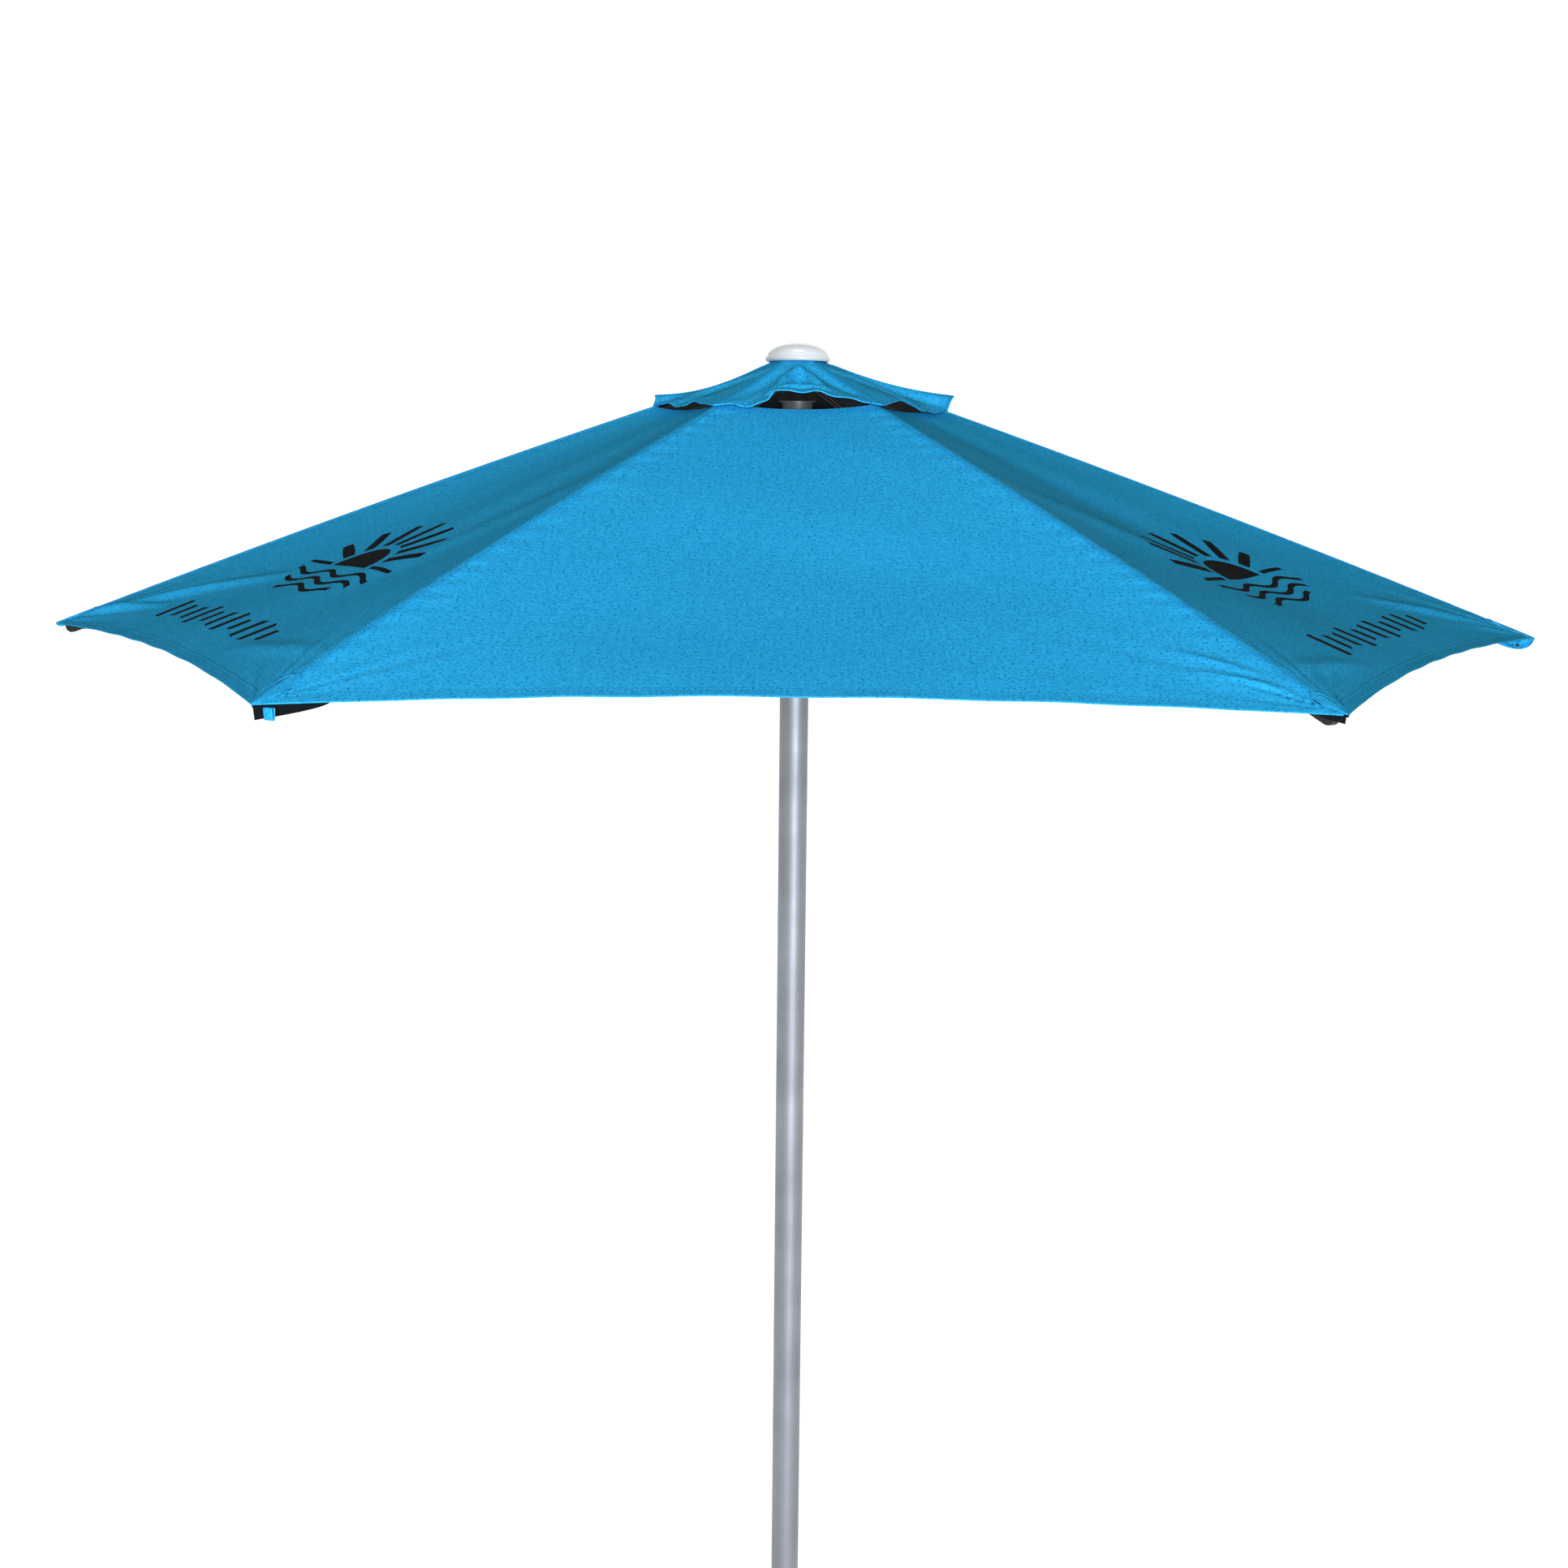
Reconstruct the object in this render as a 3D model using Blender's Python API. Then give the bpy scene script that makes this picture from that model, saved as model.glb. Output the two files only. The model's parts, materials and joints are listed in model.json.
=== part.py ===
"""Six-rib beach umbrella with a vented hexagonal canopy that folds down along its pole.

Metres, +Z up. The origin is the middle of the pole's foot, and the front panel faces -Y.
Everything that turns with a rib is modelled in the rib's own frame: the origin is on the
rib's hub pivot, +X runs outwards and level, and +Y runs along the pivot.
"""

import math

import bmesh
import bpy
from mathutils import Matrix, Vector

# Overall sizes
RIB_COUNT = 6
HUB_PIVOT_HEIGHT = 2.2257  # the rib pivots above the foot
RIB_LENGTH = 0.968  # hub pivot to the open end of a rib
RIB_SLOPE = math.radians(19.8)  # how far an open rib's chord falls below level
RIB_BOW = 0.006  # how far the taut canopy bends the middle of a rib up

# Gaps between pieces
FIT_GAP = 0.0003  # pieces fixed to each other
PLAY = 0.0005  # pieces that turn or slide on each other

# Pole and its foot
POLE_RADIUS = 0.01905
POLE_WALL = 0.0015
FOOT_THICKNESS = 0.004
FOOT_PLUG_LENGTH = 0.030

# Rib channel, its hub eye and its end plug
RIB_WIDTH = 0.008
RIB_HEIGHT = 0.016
RIB_WALL = 0.001
NECK_START = 0.010
NECK_END = 0.022
RIB_STATIONS = 8
EYE_RADIUS = 0.0055
WIRE_RADIUS = 0.0015
TIP_NOSE = 0.022
TIP_PLUG = 0.025

# Strut between runner and rib
STRUT_STATION = 0.460  # the strut pin along the rib's chord, and so the strut's length
STRUT_ROOM = 0.0015  # between a strut's eye and the rib or the bridge
STRUT_WALL = 0.001
PIN_RADIUS = 0.0025
PIN_HEAD_RADIUS = 0.004
PIN_HEAD = 0.001
CHEEK_THICKNESS = 0.002
CHEEK_MARGIN = 0.006  # cheek left around the pin
BRACKET_BACK = 0.022  # the bracket's length from the pin towards the hub
BRIDGE_THICKNESS = 0.002
CHEEK_GRIP = 0.012  # how far the cheeks reach up the rib's sides

# Top hub
CORE_WALL = 0.00845  # between the pole's bore and the rib slots
FLANGE_MARGIN = 0.008  # flange past the ring wires
FLANGE_HEIGHT = 0.014
COLLAR_WALL = 0.0045
COLLAR_DEPTH = 0.024
BOSS_RADIUS = 0.022
BOSS_HEIGHT = 0.0138
STUD_RADIUS = 0.004
STUD_IN_HUB = 0.018
STUD_IN_FINIAL = 0.011
WASHER_THICKNESS = 0.0015

# Finial
FINIAL_RADIUS = 0.042
FINIAL_HEIGHT = 0.027
FINIAL_LIP = 0.0035
FINIAL_WALL = 0.003
FINIAL_BOSS_RADIUS = 0.020
FINIAL_TOP_WALL = 0.008
FINIAL_RIM_GAP = 0.0015  # over the flap

# Runner and its clamp
SLEEVE_WALL = 0.0055
SLEEVE_LENGTH = 0.055
CLAMP_DROP = 0.030  # the clamp screw below the runner's flange
CLAMP_BOSS_RADIUS = 0.010
CLAMP_BOSS_REACH = 0.034
CLAMP_SCREW_RADIUS = 0.004
KNOB_RADIUS = 0.016
KNOB_LENGTH = 0.016
KNOB_LOBES = 5
KNOB_LOBE_DEPTH = 0.0012
KNOB_TOP_WALL = 0.004

# Canopy and its vent flap
CLOTH_THICKNESS = 0.002
CLOTH_CLEARANCE = 0.0015  # over the rib
CORNER_MARGIN = 0.010  # cloth past the rib's tip
HEM_CURVE = 0.0264  # how far the hem's middle is drawn in, along the ribs
PANEL_SAG = 0.006
VENT_RADIUS = 0.185
FLAP_RADIUS = 0.205
FLAP_FLAT_MARGIN = 0.001  # flat cloth past the boss that clamps it
FLAP_HOLE_RADIUS = 0.010
FLAP_RIDGE_LIFT = 0.008
FLAP_MIDDLE_LIFT = 0.021
CLOTH_SEAM_GAP = 0.0002  # half of the gap between two cloth pieces

# Facets
ROUND_STEPS = 24
POLE_STEPS = 24
SMALL_STEPS = 12
WIRE_STEPS = 6
EYE_STEPS = 6
DOME_STEPS = 5
CLOTH_ALONG = 6
CLOTH_ACROSS = 3

# Sizes that follow from the ones above
SECTOR = 2.0 * math.pi / RIB_COUNT
CORE_RADIUS = POLE_RADIUS + PLAY + CORE_WALL
PIVOT_RADIUS = CORE_RADIUS + PLAY + EYE_RADIUS
FLANGE_RADIUS = PIVOT_RADIUS + FLANGE_MARGIN
STRUT_DROP = RIB_HEIGHT / 2.0 + EYE_RADIUS + STRUT_ROOM
BRIDGE_START = EYE_RADIUS + STRUT_ROOM
SLOT_WIDTH = RIB_WIDTH + 2.0 * FIT_GAP
GROOVE_HALF = WIRE_RADIUS + FIT_GAP
EYE_HOLE_RADIUS = WIRE_RADIUS + PLAY
BOSS_TOP = HUB_PIVOT_HEIGHT + FLANGE_HEIGHT / 2.0 + BOSS_HEIGHT
FLAP_TOP = BOSS_TOP + FIT_GAP + CLOTH_THICKNESS
WASHER_BOTTOM = FLAP_TOP + FIT_GAP
FINIAL_SEAT = WASHER_BOTTOM + WASHER_THICKNESS + FIT_GAP
CANOPY_REACH = RIB_LENGTH + TIP_NOSE + CORNER_MARGIN
FLAP_FLAT_RADIUS = (BOSS_RADIUS + FLAP_FLAT_MARGIN) / math.cos(SECTOR / 2.0)


def bow_height(station):
    """Height of the rib's middle line over its chord, at a distance along the chord."""
    share = station / RIB_LENGTH
    return 4.0 * RIB_BOW * share * (1.0 - share)


PIN_HEIGHT = bow_height(STRUT_STATION) - STRUT_DROP
STRUT_REACH = math.hypot(STRUT_STATION, PIN_HEIGHT)
LINK_SLOPE = RIB_SLOPE + math.atan2(-PIN_HEIGHT, STRUT_STATION)
RUNNER_PIVOT_HEIGHT = HUB_PIVOT_HEIGHT - 2.0 * STRUT_REACH * math.sin(LINK_SLOPE)


# ---------------------------------------------------------------- materials


def make_material(name, colour, roughness, metallic=0.0):
    """A Principled BSDF with one colour, given as linear RGB."""
    material = bpy.data.materials.new(name)
    material.use_nodes = True
    shader = material.node_tree.nodes["Principled BSDF"]
    shader.inputs["Base Color"].default_value = (*colour, 1.0)
    shader.inputs["Roughness"].default_value = roughness
    shader.inputs["Metallic"].default_value = metallic
    material.diffuse_color = (*colour, 1.0)
    return material


def make_materials():
    return {
        "canopy_cloth": make_material("canopy_cloth", (0.023, 0.347, 0.658), 0.75),
        "satin_aluminium": make_material("satin_aluminium", (0.42, 0.44, 0.48), 0.35, 1.0),
        "frame_paint": make_material("frame_paint", (0.030, 0.031, 0.034), 0.45, 0.3),
        "finial_gloss": make_material("finial_gloss", (0.82, 0.86, 0.90), 0.25),
        "black_nylon": make_material("black_nylon", (0.012, 0.013, 0.014), 0.50),
        "zinc_steel": make_material("zinc_steel", (0.50, 0.51, 0.52), 0.35, 1.0),
    }


# ---------------------------------------------------------------- modelling helpers


def clear_scene():
    for item in list(bpy.data.objects):
        bpy.data.objects.remove(item, do_unlink=True)


def mesh_from(bm, name, smooth_angle=math.radians(30.0)):
    """Close off a bmesh as a mesh whose faces point outwards."""
    bmesh.ops.recalc_face_normals(bm, faces=bm.faces)
    mesh = bpy.data.meshes.new(name)
    bm.to_mesh(mesh)
    bm.free()
    mesh.shade_smooth()
    mesh.set_sharp_from_angle(angle=smooth_angle)
    return mesh


def turned(name, profile, steps):
    """Mesh of a closed (radius, height) outline turned about the Z axis."""
    bm = bmesh.new()
    corners = [bm.verts.new((radius, 0.0, height)) for radius, height in profile]
    edges = [bm.edges.new(pair) for pair in zip(corners, corners[1:] + corners[:1])]
    bmesh.ops.spin(
        bm,
        geom=corners + edges,
        cent=(0.0, 0.0, 0.0),
        axis=(0.0, 0.0, 1.0),
        angle=2.0 * math.pi,
        steps=steps,
        use_merge=True,
    )
    bmesh.ops.remove_doubles(bm, verts=bm.verts, dist=1e-5)
    bmesh.ops.dissolve_degenerate(bm, edges=bm.edges, dist=1e-6)
    axis_edges = [edge for edge in bm.edges if not edge.link_faces]
    bmesh.ops.delete(bm, geom=axis_edges, context="EDGES")
    return mesh_from(bm, name)


def plate(name, outline, width):
    """Mesh of an (x, z) outline, `width` thick and centred on the XZ plane."""
    bm = bmesh.new()
    corners = [bm.verts.new((x, -width / 2.0, z)) for x, z in outline]
    face = bm.faces.new(corners)
    grown = bmesh.ops.extrude_face_region(bm, geom=[face])
    far_side = [item for item in grown["geom"] if isinstance(item, bmesh.types.BMVert)]
    bmesh.ops.translate(bm, verts=far_side, vec=(0.0, width, 0.0))
    return mesh_from(bm, name)


def box(name, low, high):
    """Mesh of an upright box between two corners."""
    size = Vector(high) - Vector(low)
    bm = bmesh.new()
    bmesh.ops.create_cube(bm, size=1.0)
    bmesh.ops.scale(bm, vec=size, verts=bm.verts)
    bmesh.ops.translate(bm, vec=Vector(low) + size / 2.0, verts=bm.verts)
    return mesh_from(bm, name)


def rod(name, radius, length, steps=SMALL_STEPS):
    """Mesh of a cylinder along Y, centred on the origin."""
    bm = bmesh.new()
    bmesh.ops.create_cone(
        bm,
        cap_ends=True,
        segments=steps,
        radius1=radius,
        radius2=radius,
        depth=length,
        matrix=Matrix.Rotation(math.pi / 2.0, 4, "X"),
    )
    return mesh_from(bm, name)


def cut(mesh, cutters, operation="DIFFERENCE"):
    """The mesh after a Boolean with each (mesh, matrix) cutter; the cutters are used up."""
    body = bpy.data.objects.new("body", mesh)
    bpy.context.collection.objects.link(body)
    helpers = []
    for cutter_mesh, matrix in cutters:
        helper = bpy.data.objects.new("cutter", cutter_mesh)
        helper.matrix_world = matrix
        helper.hide_render = True
        helper.display_type = "WIRE"
        bpy.context.collection.objects.link(helper)
        step = body.modifiers.new("cut", "BOOLEAN")
        step.operation = operation
        step.solver = "EXACT"
        step.object = helper
        helpers.append(helper)
    bpy.context.view_layer.update()
    seen = body.evaluated_get(bpy.context.evaluated_depsgraph_get())
    result = bpy.data.meshes.new_from_object(seen)
    result.name = mesh.name
    for item in [body, *helpers]:
        bpy.data.objects.remove(item, do_unlink=True)
    result.shade_smooth()
    result.set_sharp_from_angle(angle=math.radians(30.0))
    return result


def place(name, mesh, material, matrix=Matrix.Identity(4)):
    """Put a mesh into the scene as one named sub-part."""
    item = bpy.data.objects.new(name, mesh)
    if not mesh.materials:
        mesh.materials.append(material)
    item.matrix_world = matrix
    bpy.context.collection.objects.link(item)
    return item


def arc(centre, radius, start, end, steps):
    """Points of a circular arc in a plane, with both ends."""
    turns = [start + (end - start) * step / steps for step in range(steps + 1)]
    return [
        (centre[0] + radius * math.cos(turn), centre[1] + radius * math.sin(turn))
        for turn in turns
    ]


def rib_frame(index):
    """World matrix of the frame that rib number `index` (from 0) is modelled in."""
    azimuth = SECTOR * (index + 0.5)
    turn = Matrix.Rotation(azimuth - math.pi / 2.0, 4, "Z")
    return turn @ Matrix.Translation((PIVOT_RADIUS, 0.0, HUB_PIVOT_HEIGHT))


# ---------------------------------------------------------------- pole


def build_pole(materials):
    bottom = FOOT_THICKNESS + FIT_GAP
    top = HUB_PIVOT_HEIGHT - FLANGE_HEIGHT / 2.0 - FIT_GAP
    inside = POLE_RADIUS - POLE_WALL
    tube = [(inside, bottom), (POLE_RADIUS, bottom), (POLE_RADIUS, top), (inside, top)]
    place("pole", turned("pole", tube, POLE_STEPS), materials["satin_aluminium"])

    plug = inside - FIT_GAP
    foot = [
        (0.0, 0.0),
        (POLE_RADIUS, 0.0),
        (POLE_RADIUS, FOOT_THICKNESS),
        (plug, FOOT_THICKNESS),
        (plug, FOOT_THICKNESS + FOOT_PLUG_LENGTH),
        (0.0, FOOT_THICKNESS + FOOT_PLUG_LENGTH),
    ]
    place("pole_foot", turned("pole_foot", foot, POLE_STEPS), materials["black_nylon"])


# ---------------------------------------------------------------- hub and finial


def slotted(mesh, centre_height, groove_upwards):
    """Cut the rib slots and the ring wire's groove into a flange."""
    tall = FLANGE_HEIGHT + 2.0 * PLAY
    reach = FLANGE_RADIUS + PLAY
    slots = []
    for index in range(RIB_COUNT):
        slot = box(
            "slot",
            (CORE_RADIUS, -SLOT_WIDTH / 2.0, -tall / 2.0),
            (reach, SLOT_WIDTH / 2.0, tall / 2.0),
        )
        azimuth = SECTOR * (index + 0.5)
        turn = Matrix.Rotation(azimuth - math.pi / 2.0, 4, "Z")
        slots.append((slot, Matrix.Translation((0.0, 0.0, centre_height)) @ turn))
    depth = -GROOVE_HALF if groove_upwards else GROOVE_HALF
    mouth = tall / 2.0 if groove_upwards else -tall / 2.0
    groove_profile = [
        (PIVOT_RADIUS - GROOVE_HALF, centre_height + depth),
        (PIVOT_RADIUS + GROOVE_HALF, centre_height + depth),
        (PIVOT_RADIUS + GROOVE_HALF, centre_height + mouth),
        (PIVOT_RADIUS - GROOVE_HALF, centre_height + mouth),
    ]
    groove = turned("groove", groove_profile, ROUND_STEPS)
    return cut(mesh, [*slots, (groove, Matrix.Identity(4))])


def ring_wire(name, height, material):
    """The wire ring that the eyes of the ribs or the struts are threaded on."""
    profile = arc((PIVOT_RADIUS, height), WIRE_RADIUS, 0.0, 2.0 * math.pi, WIRE_STEPS)
    place(name, turned(name, profile[:-1], ROUND_STEPS), material)


def build_top_hub(materials):
    low = HUB_PIVOT_HEIGHT - FLANGE_HEIGHT / 2.0
    high = HUB_PIVOT_HEIGHT + FLANGE_HEIGHT / 2.0
    bore = POLE_RADIUS + FIT_GAP
    collar = bore + COLLAR_WALL
    stud_hole = STUD_RADIUS + FIT_GAP
    profile = [
        (0.0, low),
        (bore, low),
        (bore, low - COLLAR_DEPTH),
        (collar, low - COLLAR_DEPTH),
        (collar, low),
        (FLANGE_RADIUS, low),
        (FLANGE_RADIUS, high),
        (BOSS_RADIUS, high),
        (BOSS_RADIUS, BOSS_TOP),
        (stud_hole, BOSS_TOP),
        (stud_hole, BOSS_TOP - STUD_IN_HUB - FIT_GAP),
        (0.0, BOSS_TOP - STUD_IN_HUB - FIT_GAP),
    ]
    body = turned("top_hub", profile, ROUND_STEPS)
    body = slotted(body, HUB_PIVOT_HEIGHT, groove_upwards=True)
    place("top_hub", body, materials["black_nylon"])
    ring_wire("hub_ring_wire", HUB_PIVOT_HEIGHT, materials["zinc_steel"])


def build_finial(materials):
    stud_bottom = BOSS_TOP - STUD_IN_HUB
    stud_top = FINIAL_SEAT + STUD_IN_FINIAL
    stud = [
        (0.0, stud_bottom),
        (STUD_RADIUS, stud_bottom),
        (STUD_RADIUS, stud_top),
        (0.0, stud_top),
    ]
    place("finial_screw", turned("finial_screw", stud, SMALL_STEPS), materials["zinc_steel"])

    hole = STUD_RADIUS + FIT_GAP
    washer_top = WASHER_BOTTOM + WASHER_THICKNESS
    washer = [
        (hole, WASHER_BOTTOM),
        (BOSS_RADIUS, WASHER_BOTTOM),
        (BOSS_RADIUS, washer_top),
        (hole, washer_top),
    ]
    place("crown_washer", turned("crown_washer", washer, ROUND_STEPS), materials["black_nylon"])

    rim = flap_ridge_height(FINIAL_RADIUS) + FINIAL_RIM_GAP
    top = rim + FINIAL_HEIGHT
    shoulder = rim + FINIAL_LIP
    inner = FINIAL_RADIUS - FINIAL_WALL
    ceiling = top - FINIAL_TOP_WALL
    dome = [
        (
            (FINIAL_RADIUS - FINIAL_LIP / 2.0) * math.cos(turn),
            shoulder + (top - shoulder) * math.sin(turn),
        )
        for turn in [math.pi / 2.0 * step / DOME_STEPS for step in range(DOME_STEPS)]
    ]
    profile = [
        (FINIAL_RADIUS, rim),
        (FINIAL_RADIUS, shoulder),
        *dome,
        (0.0, top),
        (0.0, stud_top + FIT_GAP),
        (hole, stud_top + FIT_GAP),
        (hole, FINIAL_SEAT),
        (FINIAL_BOSS_RADIUS, FINIAL_SEAT),
        (FINIAL_BOSS_RADIUS, min(ceiling, FINIAL_SEAT + FINIAL_WALL)),
        (inner - FINIAL_WALL, min(ceiling, FINIAL_SEAT + FINIAL_WALL)),
        (inner, rim + FINIAL_WALL),
        (inner, rim),
    ]
    place("finial", turned("finial", profile, ROUND_STEPS), materials["finial_gloss"])


# ---------------------------------------------------------------- ribs


def rib_half_height(station):
    """Half the height of a rib: an eye at the hub that widens into the channel."""
    share = (station - NECK_START) / (NECK_END - NECK_START)
    share = min(max(share, 0.0), 1.0)
    return EYE_RADIUS + share * (RIB_HEIGHT / 2.0 - EYE_RADIUS)


def rib_stations():
    even = [
        NECK_END + (RIB_LENGTH - NECK_END) * step / RIB_STATIONS
        for step in range(RIB_STATIONS + 1)
    ]
    return [0.0, NECK_START, *even]


def rib_mesh():
    """A bowed channel, open below, with an eye for the ring wire at the origin."""
    stations = rib_stations()
    top = [(s, bow_height(s) + rib_half_height(s)) for s in stations]
    bottom = [(s, bow_height(s) - rib_half_height(s)) for s in stations]
    eye = arc((0.0, 0.0), EYE_RADIUS, 1.5 * math.pi, 0.5 * math.pi, EYE_STEPS)
    body = plate("rib", [*eye[1:-1], *top, *reversed(bottom)], RIB_WIDTH)

    roof = [(s, z - RIB_WALL) for s, z in top]
    start = (-RIB_HEIGHT, roof[0][1])
    end = (RIB_LENGTH + RIB_HEIGHT, roof[-1][1])
    floor = [(end[0], -2.0 * RIB_HEIGHT), (start[0], -2.0 * RIB_HEIGHT)]
    hollow = plate("hollow", [start, *roof, end, *floor], RIB_WIDTH - 2.0 * RIB_WALL)
    hole = rod("hole", EYE_HOLE_RADIUS, 2.0 * RIB_WIDTH)
    return cut(body, [(hollow, Matrix.Identity(4)), (hole, Matrix.Identity(4))])


def rib_tip_mesh():
    """A plug in the rib's open end with a rounded nose past it."""
    slope = bow_height(RIB_LENGTH) - bow_height(RIB_LENGTH - TIP_PLUG)
    half = RIB_HEIGHT / 2.0
    start = RIB_LENGTH + FIT_GAP
    nose = [
        (start + TIP_NOSE - half, 0.0),
        (start, 0.0),
    ]
    round_end = arc(nose[0], half, -math.pi / 2.0, math.pi / 2.0, EYE_STEPS)
    head = plate("rib_tip", [(start, -half), *round_end, (start, half)], RIB_WIDTH)
    roof = half - RIB_WALL - FIT_GAP
    tongue = plate(
        "tongue",
        [
            (RIB_LENGTH - TIP_PLUG, -half - slope),
            (start + RIB_WALL, -half),
            (start + RIB_WALL, roof),
            (RIB_LENGTH - TIP_PLUG, roof),
        ],
        RIB_WIDTH - 2.0 * (RIB_WALL + FIT_GAP),
    )
    return cut(head, [(tongue, Matrix.Identity(4))], "UNION")


def bracket_mesh():
    """Two cheeks that grip the rib and hold the strut pin, joined by a bridge under the rib."""
    middle = bow_height(STRUT_STATION)
    grip = middle - RIB_HEIGHT / 2.0 + CHEEK_GRIP
    back = STRUT_STATION - BRACKET_BACK
    front = STRUT_STATION + CHEEK_MARGIN
    low = PIN_HEIGHT - CHEEK_MARGIN
    bridge_top = middle - RIB_HEIGHT / 2.0 - FIT_GAP
    bridge_low = bridge_top - BRIDGE_THICKNESS
    nose = arc((STRUT_STATION, PIN_HEIGHT), CHEEK_MARGIN, 1.5 * math.pi, 2.0 * math.pi, 4)
    outline = [(back, bridge_low), (STRUT_STATION, low), *nose[1:], (front, grip), (back, grip)]
    inside = RIB_WIDTH + 2.0 * FIT_GAP
    body = plate("strut_bracket", outline, inside + 2.0 * CHEEK_THICKNESS)

    beyond = 0.01
    over = box(
        "over",
        (back - beyond, -inside / 2.0, bridge_top),
        (front + beyond, inside / 2.0, grip + beyond),
    )
    under = box(
        "under",
        (back - beyond, -inside / 2.0, low - beyond),
        (front + beyond, inside / 2.0, bridge_low),
    )
    ahead = box(
        "ahead",
        (STRUT_STATION - BRIDGE_START, -inside / 2.0, low - beyond),
        (front + beyond, inside / 2.0, grip + beyond),
    )
    hole = rod("hole", PIN_RADIUS + FIT_GAP, 4.0 * inside)
    here = Matrix.Identity(4)
    at_pin = Matrix.Translation((STRUT_STATION, 0.0, PIN_HEIGHT))
    return cut(body, [(over, here), (under, here), (ahead, here), (hole, at_pin)])


def pin_mesh():
    """A rivet with a head outside each cheek, along Y."""
    half = (RIB_WIDTH + 2.0 * FIT_GAP) / 2.0 + CHEEK_THICKNESS + FIT_GAP
    profile = [
        (0.0, -half - PIN_HEAD),
        (PIN_HEAD_RADIUS, -half - PIN_HEAD),
        (PIN_HEAD_RADIUS, -half),
        (PIN_RADIUS, -half),
        (PIN_RADIUS, half),
        (PIN_HEAD_RADIUS, half),
        (PIN_HEAD_RADIUS, half + PIN_HEAD),
        (0.0, half + PIN_HEAD),
    ]
    return turned("bracket_pin", profile, SMALL_STEPS)


def strut_mesh():
    """A straight channel with an eye at each end, from the pin along +X; its web is at -Z."""
    left = arc((0.0, 0.0), EYE_RADIUS, 1.5 * math.pi, 0.5 * math.pi, EYE_STEPS)
    right = arc((STRUT_REACH, 0.0), EYE_RADIUS, 0.5 * math.pi, -0.5 * math.pi, EYE_STEPS)
    body = plate("strut", [*left, *right], RIB_WIDTH)
    hollow = box(
        "hollow",
        (-2.0 * EYE_RADIUS, -RIB_WIDTH / 2.0 + STRUT_WALL, -EYE_RADIUS + STRUT_WALL),
        (STRUT_REACH + 2.0 * EYE_RADIUS, RIB_WIDTH / 2.0 - STRUT_WALL, 2.0 * EYE_RADIUS),
    )
    pin_hole = rod("pin_hole", PIN_RADIUS + FIT_GAP, 2.0 * RIB_WIDTH)
    wire_hole = rod("wire_hole", EYE_HOLE_RADIUS, 2.0 * RIB_WIDTH)
    at_runner = Matrix.Translation((STRUT_REACH, 0.0, 0.0))
    here = Matrix.Identity(4)
    return cut(body, [(hollow, here), (pin_hole, here), (wire_hole, at_runner)])


def build_ribs_and_struts(materials):
    rib = rib_mesh()
    tip = rib_tip_mesh()
    bracket = bracket_mesh()
    pin = pin_mesh()
    strut = strut_mesh()
    slope = Matrix.Rotation(RIB_SLOPE, 4, "Y")
    to_pin = Matrix.Translation((STRUT_STATION, 0.0, PIN_HEIGHT))
    across = Matrix.Rotation(math.pi / 2.0, 4, "X")
    towards_runner = Matrix.Rotation(math.pi - LINK_SLOPE - RIB_SLOPE, 4, "Y")
    for index in range(RIB_COUNT):
        number = index + 1
        frame = rib_frame(index) @ slope
        place(f"rib_{number}", rib, materials["frame_paint"], frame)
        place(f"rib_tip_{number}", tip, materials["black_nylon"], frame)
        place(f"strut_bracket_{number}", bracket, materials["frame_paint"], frame)
        pin_place = frame @ to_pin @ across
        place(f"bracket_pin_{number}", pin, materials["zinc_steel"], pin_place)
        strut_place = frame @ to_pin @ towards_runner
        place(f"strut_{number}", strut, materials["frame_paint"], strut_place)


# ---------------------------------------------------------------- runner and clamp


def build_runner(materials):
    low = RUNNER_PIVOT_HEIGHT - FLANGE_HEIGHT / 2.0
    high = RUNNER_PIVOT_HEIGHT + FLANGE_HEIGHT / 2.0
    bore = POLE_RADIUS + PLAY
    sleeve = bore + SLEEVE_WALL
    profile = [
        (bore, low - SLEEVE_LENGTH),
        (sleeve, low - SLEEVE_LENGTH),
        (sleeve, low),
        (FLANGE_RADIUS, low),
        (FLANGE_RADIUS, high),
        (bore, high),
    ]
    body = turned("runner", profile, ROUND_STEPS)
    body = slotted(body, RUNNER_PIVOT_HEIGHT, groove_upwards=False)
    clamp_height = low - CLAMP_DROP
    boss_start = bore + SLEEVE_WALL / 2.0
    boss_length = CLAMP_BOSS_REACH - boss_start
    boss = rod("boss", CLAMP_BOSS_RADIUS, boss_length, 2 * SMALL_STEPS)
    boss_middle = (0.0, boss_start + boss_length / 2.0, clamp_height)
    body = cut(body, [(boss, Matrix.Translation(boss_middle))], "UNION")
    hole = rod("hole", CLAMP_SCREW_RADIUS + FIT_GAP, 2.0 * boss_length)
    body = cut(body, [(hole, Matrix.Translation(boss_middle))])
    place("runner", body, materials["black_nylon"])
    ring_wire("runner_ring_wire", RUNNER_PIVOT_HEIGHT, materials["zinc_steel"])


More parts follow.
